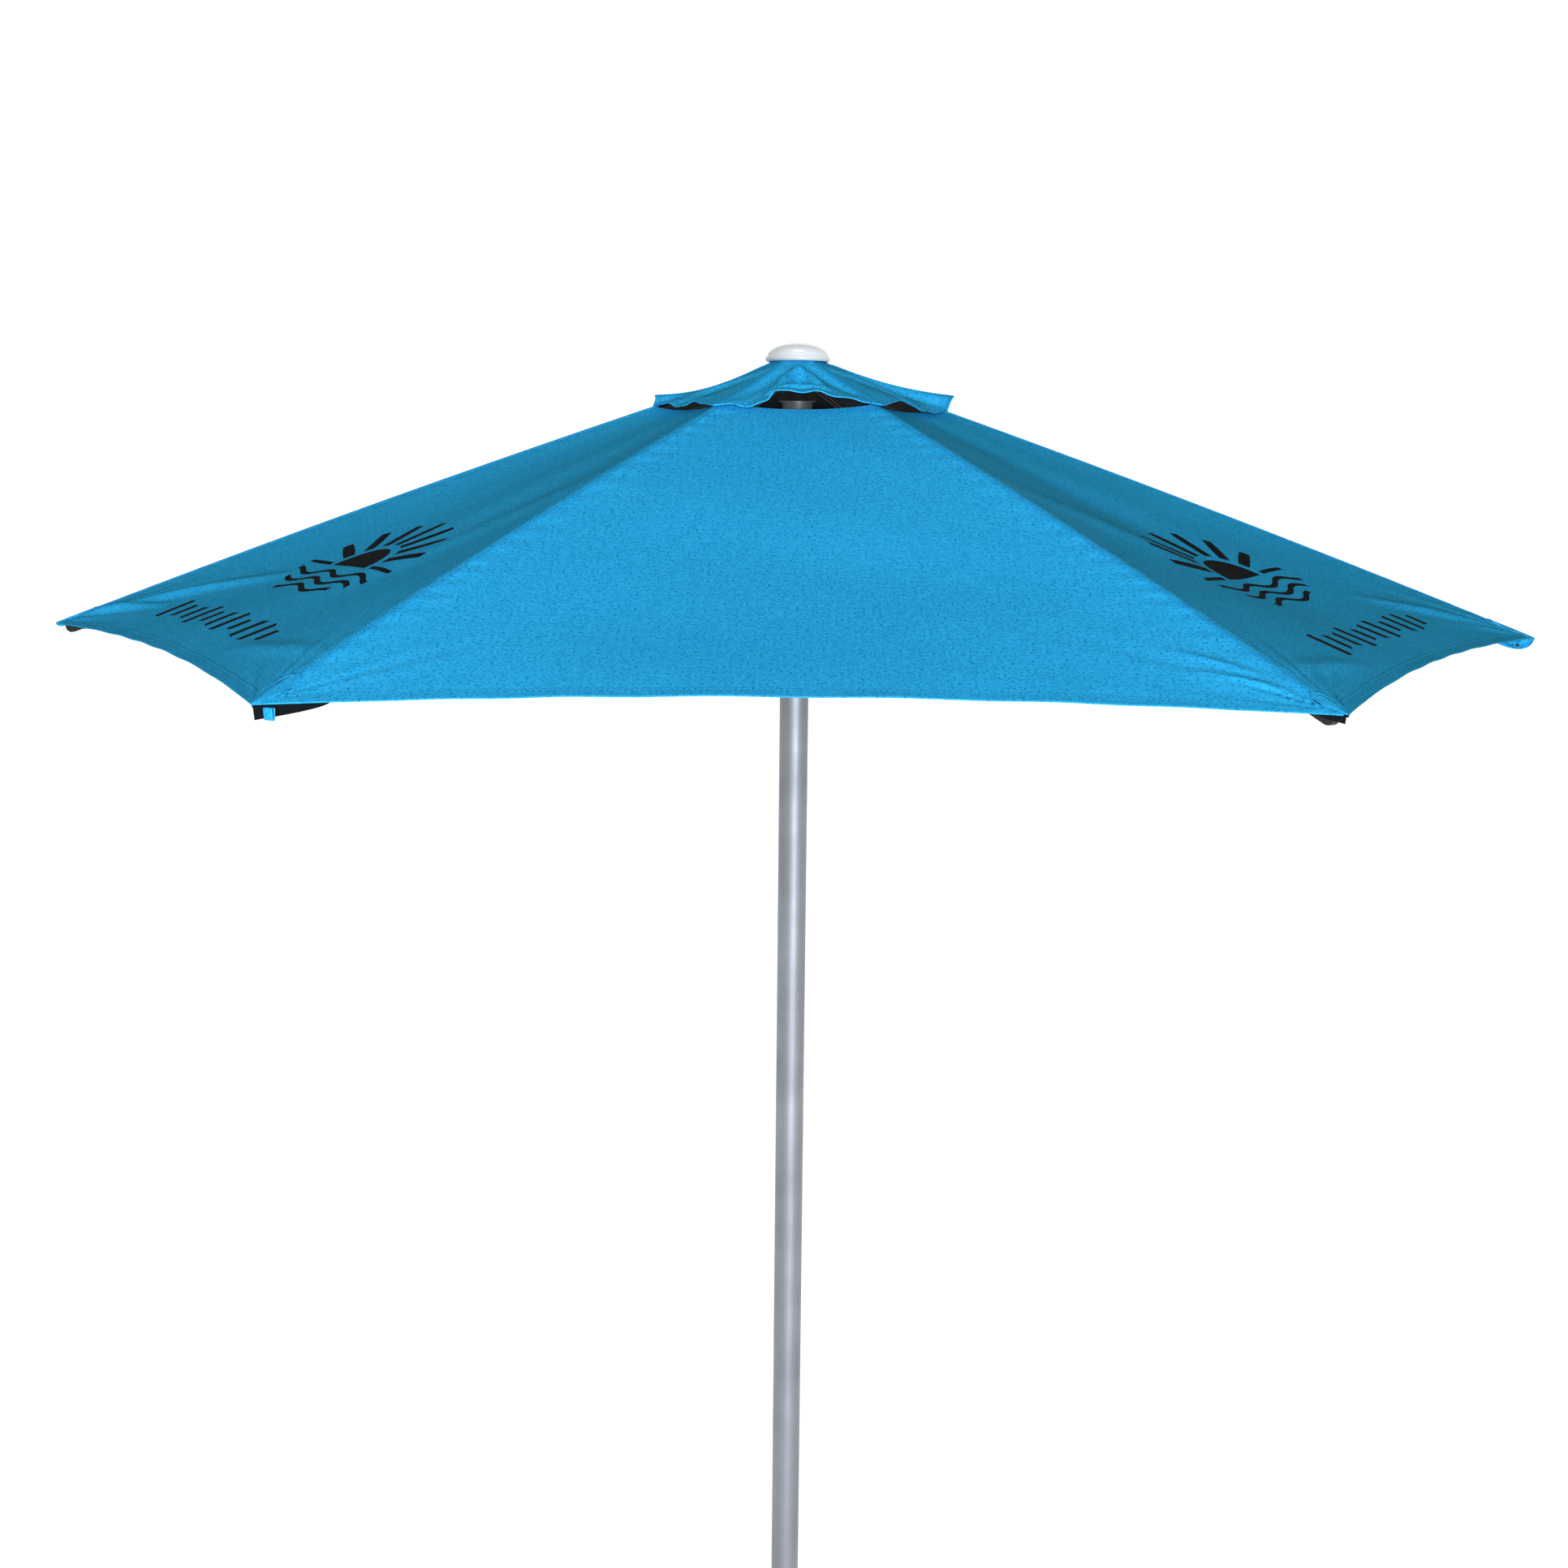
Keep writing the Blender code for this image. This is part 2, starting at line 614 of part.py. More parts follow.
def build_clamp(materials):
    height = RUNNER_PIVOT_HEIGHT - FLANGE_HEIGHT / 2.0 - CLAMP_DROP
    inner_end = POLE_RADIUS + PLAY
    knob_start = CLAMP_BOSS_REACH + PLAY
    screw_end = knob_start + KNOB_LENGTH - KNOB_TOP_WALL
    screw = rod("clamp_screw", CLAMP_SCREW_RADIUS, screw_end - inner_end)
    along = Matrix.Translation((0.0, (screw_end + inner_end) / 2.0, height))
    place("clamp_screw", screw, materials["zinc_steel"], along)

    points = 8 * KNOB_LOBES
    turns = [2.0 * math.pi * step / points for step in range(points)]
    radii = [KNOB_RADIUS - KNOB_LOBE_DEPTH * (1.0 - math.cos(KNOB_LOBES * t)) for t in turns]
    outline = [(r * math.cos(t), r * math.sin(t)) for r, t in zip(radii, turns)]
    body = plate("clamp_knob", outline, KNOB_LENGTH)
    socket_length = KNOB_LENGTH - KNOB_TOP_WALL + FIT_GAP
    socket = rod("socket", CLAMP_SCREW_RADIUS + FIT_GAP, 2.0 * socket_length)
    body = cut(body, [(socket, Matrix.Translation((0.0, -KNOB_LENGTH / 2.0, 0.0)))])
    knob_middle = Matrix.Translation((0.0, knob_start + KNOB_LENGTH / 2.0, height))
    place("clamp_knob", body, materials["black_nylon"], knob_middle)


# ---------------------------------------------------------------- canopy


def ridge_point(station):
    """(radius, height) of the cloth's upper face on a rib's line, `station` along its chord."""
    over = bow_height(station) + RIB_HEIGHT / 2.0 + CLOTH_CLEARANCE
    radius = PIVOT_RADIUS + station * math.cos(RIB_SLOPE) + over * math.sin(RIB_SLOPE)
    height = HUB_PIVOT_HEIGHT - station * math.sin(RIB_SLOPE) + over * math.cos(RIB_SLOPE)
    return radius, height + CLOTH_THICKNESS


def station_at(radius):
    """How far along the rib's chord the cloth's ridge reaches a radius."""
    station = radius
    for _ in range(20):
        station += radius - ridge_point(station)[0]
    return station


def flap_ridge_height(radius):
    """Height of the vent flap's upper face on a rib's line."""
    corner = ridge_point(station_at(FLAP_RADIUS))[1] + FLAP_RIDGE_LIFT
    share = (radius - FLAP_FLAT_RADIUS) / (FLAP_RADIUS - FLAP_FLAT_RADIUS)
    return FLAP_TOP + max(share, 0.0) * (corner - FLAP_TOP)


def chord_point(radius, height, across):
    """A point on the level chord between two ridges; `across` is 0 on the rib, 1 midway."""
    own = Vector((radius, 0.0, height))
    next_rib = Vector((radius * math.cos(SECTOR), radius * math.sin(SECTOR), height))
    return own.lerp(next_rib, abs(across) / 2.0)


def panel_point(along, across):
    """The panel's upper face; `along` runs from 0 at the vent to 1 at the hem."""
    start = station_at(VENT_RADIUS)
    slack = 1.0 - (1.0 - abs(across)) ** 2
    end = CANOPY_REACH - HEM_CURVE * slack
    point = chord_point(*ridge_point(start + along * (end - start)), across)
    point.z -= PANEL_SAG * slack * math.sin(math.pi * along)
    return point


def flap_point(along, across):
    """The flap's upper face; `along` runs from 0 at the screw hole to 1 at its hem.

    The first of the cloth's steps is the part that is clamped flat.
    """
    flat_share = 1.0 / CLOTH_ALONG
    rise = (along - flat_share) / (1.0 - flat_share)
    if rise > 0.0:
        radius = FLAP_FLAT_RADIUS + rise * (FLAP_RADIUS - FLAP_FLAT_RADIUS)
    else:
        rise = 0.0
        flat_width = FLAP_FLAT_RADIUS - FLAP_HOLE_RADIUS
        radius = FLAP_HOLE_RADIUS + along / flat_share * flat_width
    slack = 1.0 - (1.0 - abs(across)) ** 2
    point = chord_point(radius, flap_ridge_height(radius), across)
    point.z += (FLAP_MIDDLE_LIFT - FLAP_RIDGE_LIFT) * slack * rise
    return point


def keep_off_seams(point, side, ridge_gap):
    """Hold a cloth point back from the seam on the next panel's middle, and from the ridge."""
    middle = Vector((math.cos(SECTOR / 2.0), math.sin(SECTOR / 2.0), 0.0))
    outward = Vector((-middle.y, middle.x, 0.0))
    short = point.dot(outward) + CLOTH_SEAM_GAP
    if short > 0.0:
        point = point - outward * short
    if ridge_gap:
        point.y = max(point.y, CLOTH_SEAM_GAP)
    point.y *= side
    return point


def cloth_mesh(name, surface, across_range, along_steps, across_steps):
    """A sheet over (along, across), thickened straight down, in the rib's frame."""
    bm = bmesh.new()
    bmesh.ops.create_grid(bm, x_segments=along_steps, y_segments=across_steps, size=0.5)
    first, last = across_range
    one_side = first >= 0.0 or last <= 0.0
    for vertex in bm.verts:
        along = vertex.co.x + 0.5
        across = first + (vertex.co.y + 0.5) * (last - first)
        side = 1.0 if first + last + across > 0.0 else -1.0
        vertex.co = keep_off_seams(surface(along, across), side, one_side)
    bmesh.ops.translate(bm, verts=bm.verts, vec=(-PIVOT_RADIUS, 0.0, -HUB_PIVOT_HEIGHT))
    grown = bmesh.ops.extrude_face_region(bm, geom=list(bm.faces))
    under = [item for item in grown["geom"] if isinstance(item, bmesh.types.BMVert)]
    bmesh.ops.translate(bm, verts=under, vec=(0.0, 0.0, -CLOTH_THICKNESS))
    return mesh_from(bm, name, math.radians(15.0))


def build_canopy(materials):
    left = cloth_mesh("canopy_left", panel_point, (-1.0, 0.0), CLOTH_ALONG, CLOTH_ACROSS)
    right = cloth_mesh("canopy_right", panel_point, (0.0, 1.0), CLOTH_ALONG, CLOTH_ACROSS)
    flap = cloth_mesh("vent_flap", flap_point, (-1.0, 1.0), CLOTH_ALONG, 2 * CLOTH_ACROSS)
    for index in range(RIB_COUNT):
        frame = rib_frame(index)
        place(f"canopy_left_{index + 1}", left, materials["canopy_cloth"], frame)
        place(f"canopy_right_{index + 1}", right, materials["canopy_cloth"], frame)
        place(f"vent_flap_{index + 1}", flap, materials["canopy_cloth"], frame)


def main():
    clear_scene()
    materials = make_materials()
    build_pole(materials)
    build_top_hub(materials)
    build_finial(materials)
    build_ribs_and_struts(materials)
    build_runner(materials)
    build_clamp(materials)
    build_canopy(materials)


main()
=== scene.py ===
"""Looks of a six-rib beach umbrella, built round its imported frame.

The shade is dyed polyester with a dark coated underside, sewn from six gores under a small vent cap. This
script sews it in detail, dresses the frame, and sets a plain studio round it.
"""

import json
import logging
import math
from dataclasses import dataclass, field
from enum import Enum
from typing import Callable, Iterable, Sequence

import bmesh
import bpy
import numpy as np
from mathutils import Matrix, Vector


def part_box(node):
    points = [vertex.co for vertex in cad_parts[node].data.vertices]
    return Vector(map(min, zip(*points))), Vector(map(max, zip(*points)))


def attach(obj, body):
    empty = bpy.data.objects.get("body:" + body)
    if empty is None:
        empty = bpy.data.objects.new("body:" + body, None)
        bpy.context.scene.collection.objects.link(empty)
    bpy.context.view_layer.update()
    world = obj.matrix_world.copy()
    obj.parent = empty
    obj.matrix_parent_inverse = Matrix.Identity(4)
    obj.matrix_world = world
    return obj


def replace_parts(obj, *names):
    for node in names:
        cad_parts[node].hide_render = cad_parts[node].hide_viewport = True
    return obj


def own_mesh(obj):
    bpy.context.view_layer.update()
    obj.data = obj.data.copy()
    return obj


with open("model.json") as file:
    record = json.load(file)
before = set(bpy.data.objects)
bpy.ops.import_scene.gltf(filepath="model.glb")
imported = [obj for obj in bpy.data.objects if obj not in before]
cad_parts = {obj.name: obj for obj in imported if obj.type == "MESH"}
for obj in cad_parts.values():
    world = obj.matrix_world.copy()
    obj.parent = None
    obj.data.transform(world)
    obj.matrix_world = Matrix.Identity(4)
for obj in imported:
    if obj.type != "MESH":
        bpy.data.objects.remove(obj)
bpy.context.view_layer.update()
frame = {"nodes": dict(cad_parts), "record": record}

LOG = logging.getLogger("beach_umbrella")
RIBS = 6
SECTOR = 2.0 * math.pi / RIBS
CLOTH_UV = "cloth"
CLOTH_SLOT = "canopy_cloth"
UNLIT = ("top_hub", "hub_ring", "crown_washer", "finial_screw", "rib_")  # in the shade's own shadow
MILLIMETRE = 0.001

Array = np.ndarray
Socket = bpy.types.NodeSocket


class Side(Enum):
    """Which half of the cloth beside a rib a piece belongs to."""

    RIGHT = 1
    LEFT = -1


class Skin(Enum):
    """Material places of a sewn sheet, in slot order."""

    OUTER = 0
    INNER = 1


def to_linear(colour: str) -> tuple[float, float, float, float]:
    """Turns an sRGB hex colour into the linear values that a shader socket takes.

    Args:
        colour: Six hex digits after a hash sign.

    Returns:
        Linear red, green and blue, with a full alpha.
    """
    channels = [int(colour[i : i + 2], 16) / 255.0 for i in (1, 3, 5)]
    linear = [c / 12.92 if c <= 0.04045 else ((c + 0.055) / 1.055) ** 2.4 for c in channels]
    return (linear[0], linear[1], linear[2], 1.0)


def per_mm(size: float) -> float:
    """Returns a pattern's scale per metre for a feature of a given size in millimetres."""
    return 1.0 / (size * MILLIMETRE)


def add_node(tree: bpy.types.NodeTree, kind: str, inputs: dict | None = None, links: dict | None = None,
             **settings: object) -> bpy.types.Node:
    """Adds one shader node with its settings and links.

    Args:
        tree: Node tree that receives the node.
        kind: Blender's name of the node type.
        inputs: Socket values by name or index.
        links: Output sockets that feed the node's inputs, by name or index.
        **settings: Node properties.

    Returns:
        The new node.
    """
    node = tree.nodes.new(kind)
    for name, value in settings.items():
        setattr(node, name, value)
    for key, value in (inputs or {}).items():
        node.inputs[key].default_value = value
    for key, socket in (links or {}).items():
        tree.links.new(socket, node.inputs[key])
    return node


class Pattern:
    """The nodes of one material: short words for the steps that its patterns share."""

    def __init__(self, tree: bpy.types.NodeTree, shader: bpy.types.Node):
        self.tree = tree
        self.shader = shader

    def place(self) -> Socket:
        """Returns places on the object, in metres."""
        return add_node(self.tree, "ShaderNodeTexCoord").outputs["Object"]

    def cloth(self) -> Socket:
        """Returns the flat cloth coordinates, in metres."""
        return add_node(self.tree, "ShaderNodeUVMap", uv_map=CLOTH_UV).outputs["UV"]

    def maths(self, operation: str, *values: Socket | float, clamp: bool = False) -> Socket:
        """Returns the result of one step of arithmetic.

        Args:
            operation: Blender's name of the operation.
            *values: Sockets or numbers, in the order of the node's inputs.
            clamp: Whether the result stays between 0 and 1.
        """
        numbers = {i: v for i, v in enumerate(values) if not isinstance(v, Socket)}
        sockets = {i: v for i, v in enumerate(values) if isinstance(v, Socket)}
        node = add_node(self.tree, "ShaderNodeMath", numbers, sockets, operation=operation, use_clamp=clamp)
        return node.outputs[0]

    def product(self, *values: Socket) -> Socket:
        """Returns several sockets multiplied in turn."""
        found = values[0]
        for value in values[1:]:
            found = self.maths("MULTIPLY", found, value)
        return found

    def noise(self, place: Socket, scale: float, detail: float = 2.0, roughness: float = 0.5) -> Socket:
        """Returns a noise of a given scale, per metre."""
        values = {"Scale": scale, "Detail": detail, "Roughness": roughness}
        return add_node(self.tree, "ShaderNodeTexNoise", values, {"Vector": place}).outputs[0]

    def stretched(self, place: Socket, scale: tuple[float, float, float]) -> Socket:
        """Returns places scaled by axis, for a noise that is drawn out."""
        return add_node(self.tree, "ShaderNodeMapping", {"Scale": scale}, {"Vector": place}).outputs[0]

    def spread(self, value: Socket, source: tuple[float, float], target: tuple[float, float]) -> Socket:
        """Returns a value of the source range carried over to the target range."""
        ends = dict(zip(("From Min", "From Max", "To Min", "To Max"), source + target))
        return add_node(self.tree, "ShaderNodeMapRange", ends, {"Value": value}).outputs[0]

    def mix(self, factor: Socket, first: Socket | str, second: Socket | str) -> Socket:
        """Returns a blend of two colours, each a socket or a hex colour."""
        ends = {6: first, 7: second}
        colours = {i: to_linear(v) for i, v in ends.items() if isinstance(v, str)}
        sockets = {i: v for i, v in ends.items() if not isinstance(v, str)}
        node = add_node(self.tree, "ShaderNodeMix", colours, {"Factor": factor, **sockets}, data_type="RGBA")
        return node.outputs[2]

    def bump(self, height: Socket, strength: float, distance: float) -> None:
        """Raises the surface by a height pattern.

        Args:
            height: The pattern.
            strength: Share of it that shows.
            distance: Its depth in metres.
        """
        values = {"Strength": strength, "Distance": distance}
        self.feed("Normal", add_node(self.tree, "ShaderNodeBump", values, {"Height": height}).outputs[0])

    def feed(self, name: str, socket: Socket) -> None:
        """Links a socket to one of the shader's inputs."""
        self.tree.links.new(socket, self.shader.inputs[name])


# ---------------------------------------------------------------- finishes


@dataclass(frozen=True)
class Finish:
    """A material by its real name, with the values that a plain surface of it has."""

    name: str
    colour: str
    roughness: float
    metallic: float = 0.0
    coat: float = 0.0
    specular: float = 0.5

    def material(self) -> bpy.types.Material:
        """Returns the finish as a Blender material, made once and then shared."""
        found = bpy.data.materials.get(self.name)
        if found is not None:
            return found
        made = bpy.data.materials.new(self.name)
        made.use_nodes = True
        made.diffuse_color = to_linear(self.colour)
        shader = made.node_tree.nodes["Principled BSDF"]
        shader.inputs["Base Color"].default_value = to_linear(self.colour)
        shader.inputs["Roughness"].default_value = self.roughness
        shader.inputs["Metallic"].default_value = self.metallic
        shader.inputs["Coat Weight"].default_value = self.coat
        shader.inputs["Specular IOR Level"].default_value = self.specular
        self.draw(Pattern(made.node_tree, shader))
        return made

    def draw(self, on: Pattern) -> None:
        """Adds what makes the finish more than one colour.

        Args:
            on: Nodes of the material.
        """


@dataclass(frozen=True)
class WovenCloth(Finish):
    """Plain-weave polyester. Uneven yarn and dye give the faint mottling, the weave a soft broken sheen."""

    light: str = "#33b6f2"
    deep: str = "#0d6fa3"
    thread_mm: float = 2.4  # six times as coarse as the real 0.4 mm threads, which are too fine to show
    slub_mm: float = 46.0
    mottle_mm: float = 8.0
    pit_mm: float = 3.2
    fade_mm: float = 320.0
    slub_share: float = 0.36
    slub_bias: float = -0.30
    mottle_share: float = 0.78
    fade_share: float = 0.30
    weave_share: float = 0.05
    pit_band: tuple[float, float] = (0.34, 0.46)
    pit_depth: float = 0.75
    gloss_range: float = 0.14
    weave_depth: float = 0.00035
    printed: bool = False

    def draw(self, on: Pattern) -> None:
        """Adds weave, slubs, dye mottling and, on a printed gore, the ink."""
        uv = on.cloth()
        axes = add_node(on.tree, "ShaderNodeSeparateXYZ", links={0: uv}).outputs
        turns = 2.0 * math.pi * per_mm(self.thread_mm)
        weave = on.product(*(on.maths("SINE", on.maths("MULTIPLY", axes[name], turns)) for name in "XY"))
        slub, thread = per_mm(self.slub_mm), per_mm(2.5 * self.thread_mm)
        scales = ((slub, thread, 1.0), (thread, slub, 1.0))
        streaks = [on.noise(on.stretched(uv, scale), 1.0, roughness=0.6) for scale in scales]
        crossing = on.maths("ADD", *streaks)
        mottle = on.noise(uv, per_mm(self.mottle_mm), 4.0, 0.65)
        fade = on.noise(uv, per_mm(self.fade_mm))
        slubs = on.maths("MULTIPLY_ADD", crossing, self.slub_share, self.slub_bias)
        blotch = on.maths("MULTIPLY_ADD", mottle, self.mottle_share, slubs)
        worn = on.maths("MULTIPLY_ADD", fade, self.fade_share, blotch)
        tone = on.maths("MULTIPLY_ADD", weave, self.weave_share, worn, clamp=True)
        pits = on.spread(on.noise(uv, per_mm(self.pit_mm), 1.0), self.pit_band, (self.pit_depth, 0.0))
        colour = on.mix(pits, on.mix(tone, self.colour, self.light), self.deep)
        if self.printed:
            colour = PrintedMotif().ink(on, axes, mottle, colour)
        on.feed("Base Color", colour)
        gloss = self.roughness - self.gloss_range / 2.0
        on.feed("Roughness", on.maths("MULTIPLY_ADD", mottle, self.gloss_range, gloss))
        on.bump(on.maths("MULTIPLY_ADD", crossing, 0.8, weave), 0.35, self.weave_depth)


@dataclass(frozen=True)
class PrintedMotif:
    """A plain seaside print: a half sun with rays over waves, and a row of bars. Sizes in metres."""

    centre: float = 0.560
    sun: float = 0.060
    ray_start: float = 0.074
    ray_end: float = 0.150
    rays: int = 8
    ray_taper: float = 12.5  # how fast the rays narrow outwards, per metre
    ray_fullness: float = 1.15
    wave_length: float = 0.118
    wave_height: float = 0.0075
    wave_pitch: float = 0.024
    wave_reaches: tuple[float, ...] = (1.0, 0.84, 0.62)  # shares of reach, from the upper wave down
    stroke: float = 0.0095
    reach: float = 0.145
    bar_row: float = 0.190
    bar_height: float = 0.046
    bar_swell: float = 0.16
    bar_pitch: float = 0.042
    bar_gap: float = 0.40  # cosine below which there is cloth between two bars
    bar_reach: float = 0.238
    ink_colour: str = "#040608"

    def ink(self, on: Pattern, axes: bpy.types.NodeOutputs, wear: Socket, cloth: Socket) -> Socket:
        """Lays black screen-print ink over the cloth's colour.

        Args:
            on: Nodes of the material.
            axes: Separated cloth coordinates, across the gore and down it.
            wear: Fine noise that thins the ink.
            cloth: Colour of the bare cloth.

        Returns:
            Colour of the printed cloth.
        """
        x = axes["X"]
        up = on.maths("SUBTRACT", self.centre, axes["Y"])
        side = on.maths("ABSOLUTE", x)
        swell = on.maths("SINE", on.maths("MULTIPLY", x, 2.0 * math.pi / self.wave_length))
        mask = self._half_sun(on, x, up)
        for row, share in enumerate(self.wave_reaches, 1):
            line = on.maths("MULTIPLY_ADD", swell, self.wave_height, up)
            off = on.maths("ABSOLUTE", on.maths("ADD", line, self.wave_pitch * row))
            thin = on.maths("LESS_THAN", off, self.stroke / 2.0)
            within = on.maths("LESS_THAN", side, self.reach * share)
            mask = on.maths("MAXIMUM", mask, on.product(thin, within))
        mask = on.maths("MAXIMUM", mask, self._bars(on, x, up, swell))
        cover = on.product(mask, on.spread(wear, (0.25, 0.45), (0.92, 1.0)))
        return on.mix(cover, cloth, self.ink_colour)

    def _half_sun(self, on: Pattern, x: Socket, up: Socket) -> Socket:
        """Returns where the disc and its rays are, above their level line."""
        flat = add_node(on.tree, "ShaderNodeCombineXYZ", links={"X": x, "Y": up}).outputs[0]
        far = add_node(on.tree, "ShaderNodeVectorMath", links={0: flat}, operation="LENGTH").outputs["Value"]
        comb = on.maths("COSINE", on.maths("MULTIPLY", on.maths("ARCTAN2", up, x), 2.0 * self.rays))
        taper = on.maths("MULTIPLY_ADD", far, self.ray_taper, -self.ray_fullness)
        spoke = on.maths("GREATER_THAN", comb, taper)
        past = on.maths("GREATER_THAN", far, self.ray_start)
        rays = on.product(spoke, past, on.maths("LESS_THAN", far, self.ray_end))
        shine = on.maths("MAXIMUM", on.maths("LESS_THAN", far, self.sun), rays)
        return on.product(shine, on.maths("GREATER_THAN", up, 0.0))

    def _bars(self, on: Pattern, x: Socket, up: Socket, swell: Socket) -> Socket:
        """Returns where the row of bars is."""
        pulse = on.maths("COSINE", on.maths("MULTIPLY", x, 2.0 * math.pi / self.bar_pitch))
        level = on.maths("ABSOLUTE", on.maths("ADD", up, self.bar_row))
        crest = on.maths("MULTIPLY_ADD", swell, self.bar_height * self.bar_swell, self.bar_height / 2.0)
        return on.product(on.maths("GREATER_THAN", pulse, self.bar_gap), on.maths("LESS_THAN", level, crest),
                          on.maths("LESS_THAN", on.maths("ABSOLUTE", x), self.bar_reach))


@dataclass(frozen=True)
class DarkCoating(Finish):
    """Polyurethane coating knifed on the cloth's underside. The weave shows through it as a faint grain."""

    thread_mm: float = 2.4
    patch_scale: float = 9.0
    thin: str = "#0e1417"

    def draw(self, on: Pattern) -> None:
        """Adds a weave print-through and uneven coating."""
        uv = on.cloth()
        on.feed("Base Color", on.mix(on.noise(uv, self.patch_scale, 3.0), self.colour, self.thin))
        on.bump(on.noise(uv, per_mm(self.thread_mm)), 0.25, 0.0003)


@dataclass(frozen=True)
class SpunThread(Finish):
    """Twisted polyester sewing thread. The ply gives each stitch a fine diagonal shade."""

    ply_mm: float = 0.8
    ply: str = "#2d9fd0"

    def draw(self, on: Pattern) -> None:
        """Adds the twist of the plies."""
        values = {"Scale": 0.5 * per_mm(self.ply_mm), "Distortion": 1.5}
        wave = add_node(on.tree, "ShaderNodeTexWave", values, {"Vector": on.place()},
                        bands_direction="DIAGONAL")
        on.feed("Base Color", on.mix(wave.outputs[0], self.colour, self.ply))


@dataclass(frozen=True)
class DrawnTube(Finish):
    """Satin aluminium or zinc-plated steel. Drawing leaves fine lines along it, and wiping soft smudges."""

    line_mm: float = 1.2
    along_mm: float = 160.0
    smudge_scale: float = 14.0
    worn: str = "#7d8187"

    def draw(self, on: Pattern) -> None:
        """Adds the drawing lines, a faint smudge and their share in the gloss."""
        place = on.place()
        across, along = per_mm(self.line_mm), per_mm(self.along_mm)
        lines = on.noise(on.stretched(place, (across, across, along)), 1.0, 3.0)
        tone = on.maths("MULTIPLY_ADD", lines, 0.5, on.noise(place, self.smudge_scale, 3.0), clamp=True)
        on.feed("Base Color", on.mix(on.spread(tone, (0.45, 1.0), (0.0, 0.7)), self.colour, self.worn))
        on.feed("Roughness", on.maths("MULTIPLY_ADD", tone, 0.16, self.roughness - 0.1))
        on.bump(lines, 0.12, 0.0002)


@dataclass(frozen=True)
class Moulded(Finish):
    """Moulded plastic or powder paint. A fine orange-peel grain breaks its gloss, and handling dulls it."""

    grain_mm: float = 1.6
    grain_depth_mm: float = 0.05
    mark_scale: float = 38.0
    dusty: str = "#9a9c9e"
    dust: float = 0.18

    def draw(self, on: Pattern) -> None:
        """Adds the surface grain, faint dust and handling marks."""
        place = on.place()
        marks = on.noise(place, self.mark_scale, 5.0, 0.7)
        dust = on.spread(marks, (0.42, 0.75), (0.0, self.dust))
        on.feed("Base Color", on.mix(dust, self.colour, self.dusty))
        on.feed("Roughness", on.maths("MULTIPLY_ADD", marks, 0.2, self.roughness - 0.1))
        on.bump(on.noise(place, per_mm(self.grain_mm)), 0.3, self.grain_depth_mm * MILLIMETRE)


BLUE_CLOTH = WovenCloth("dyed_polyester", "#1283bd", 0.9, specular=0.03)
PRINTED_CLOTH = WovenCloth("screen_printed_polyester", "#1283bd", 0.9, specular=0.03, printed=True)
SEAM_CLOTH = WovenCloth("felled_seam_polyester", "#1480b8", 0.9, specular=0.03, light="#2fa9e0")
COATED_SIDE = DarkCoating("polyurethane_coated_underside", "#05080a", 0.8, specular=0.06)
THREAD = SpunThread("polyester_thread", "#1c84b6", 0.8, specular=0.05)
SATIN_TUBE = DrawnTube("satin_anodised_aluminium", "#969aa2", 0.52, metallic=1.0)
ZINC_STEEL = DrawnTube("zinc_plated_steel", "#b9babd", 0.3, metallic=1.0, line_mm=3.0, along_mm=6.0)
POWDER_COAT = Moulded("dark_grey_powder_coat", "#34373a", 0.5, grain_mm=1.1, dust=0.10)
GLOSS_ABS = Moulded("polished_white_abs", "#f0f3f8", 0.24, coat=0.3, grain_mm=4.0, grain_depth_mm=0.02,
                    dusty="#d6d8d8")
BLACK_NYLON = Moulded("moulded_black_nylon", "#17181a", 0.5, dusty="#4c4d4e")


# ---------------------------------------------------------------- shape of the spread shade


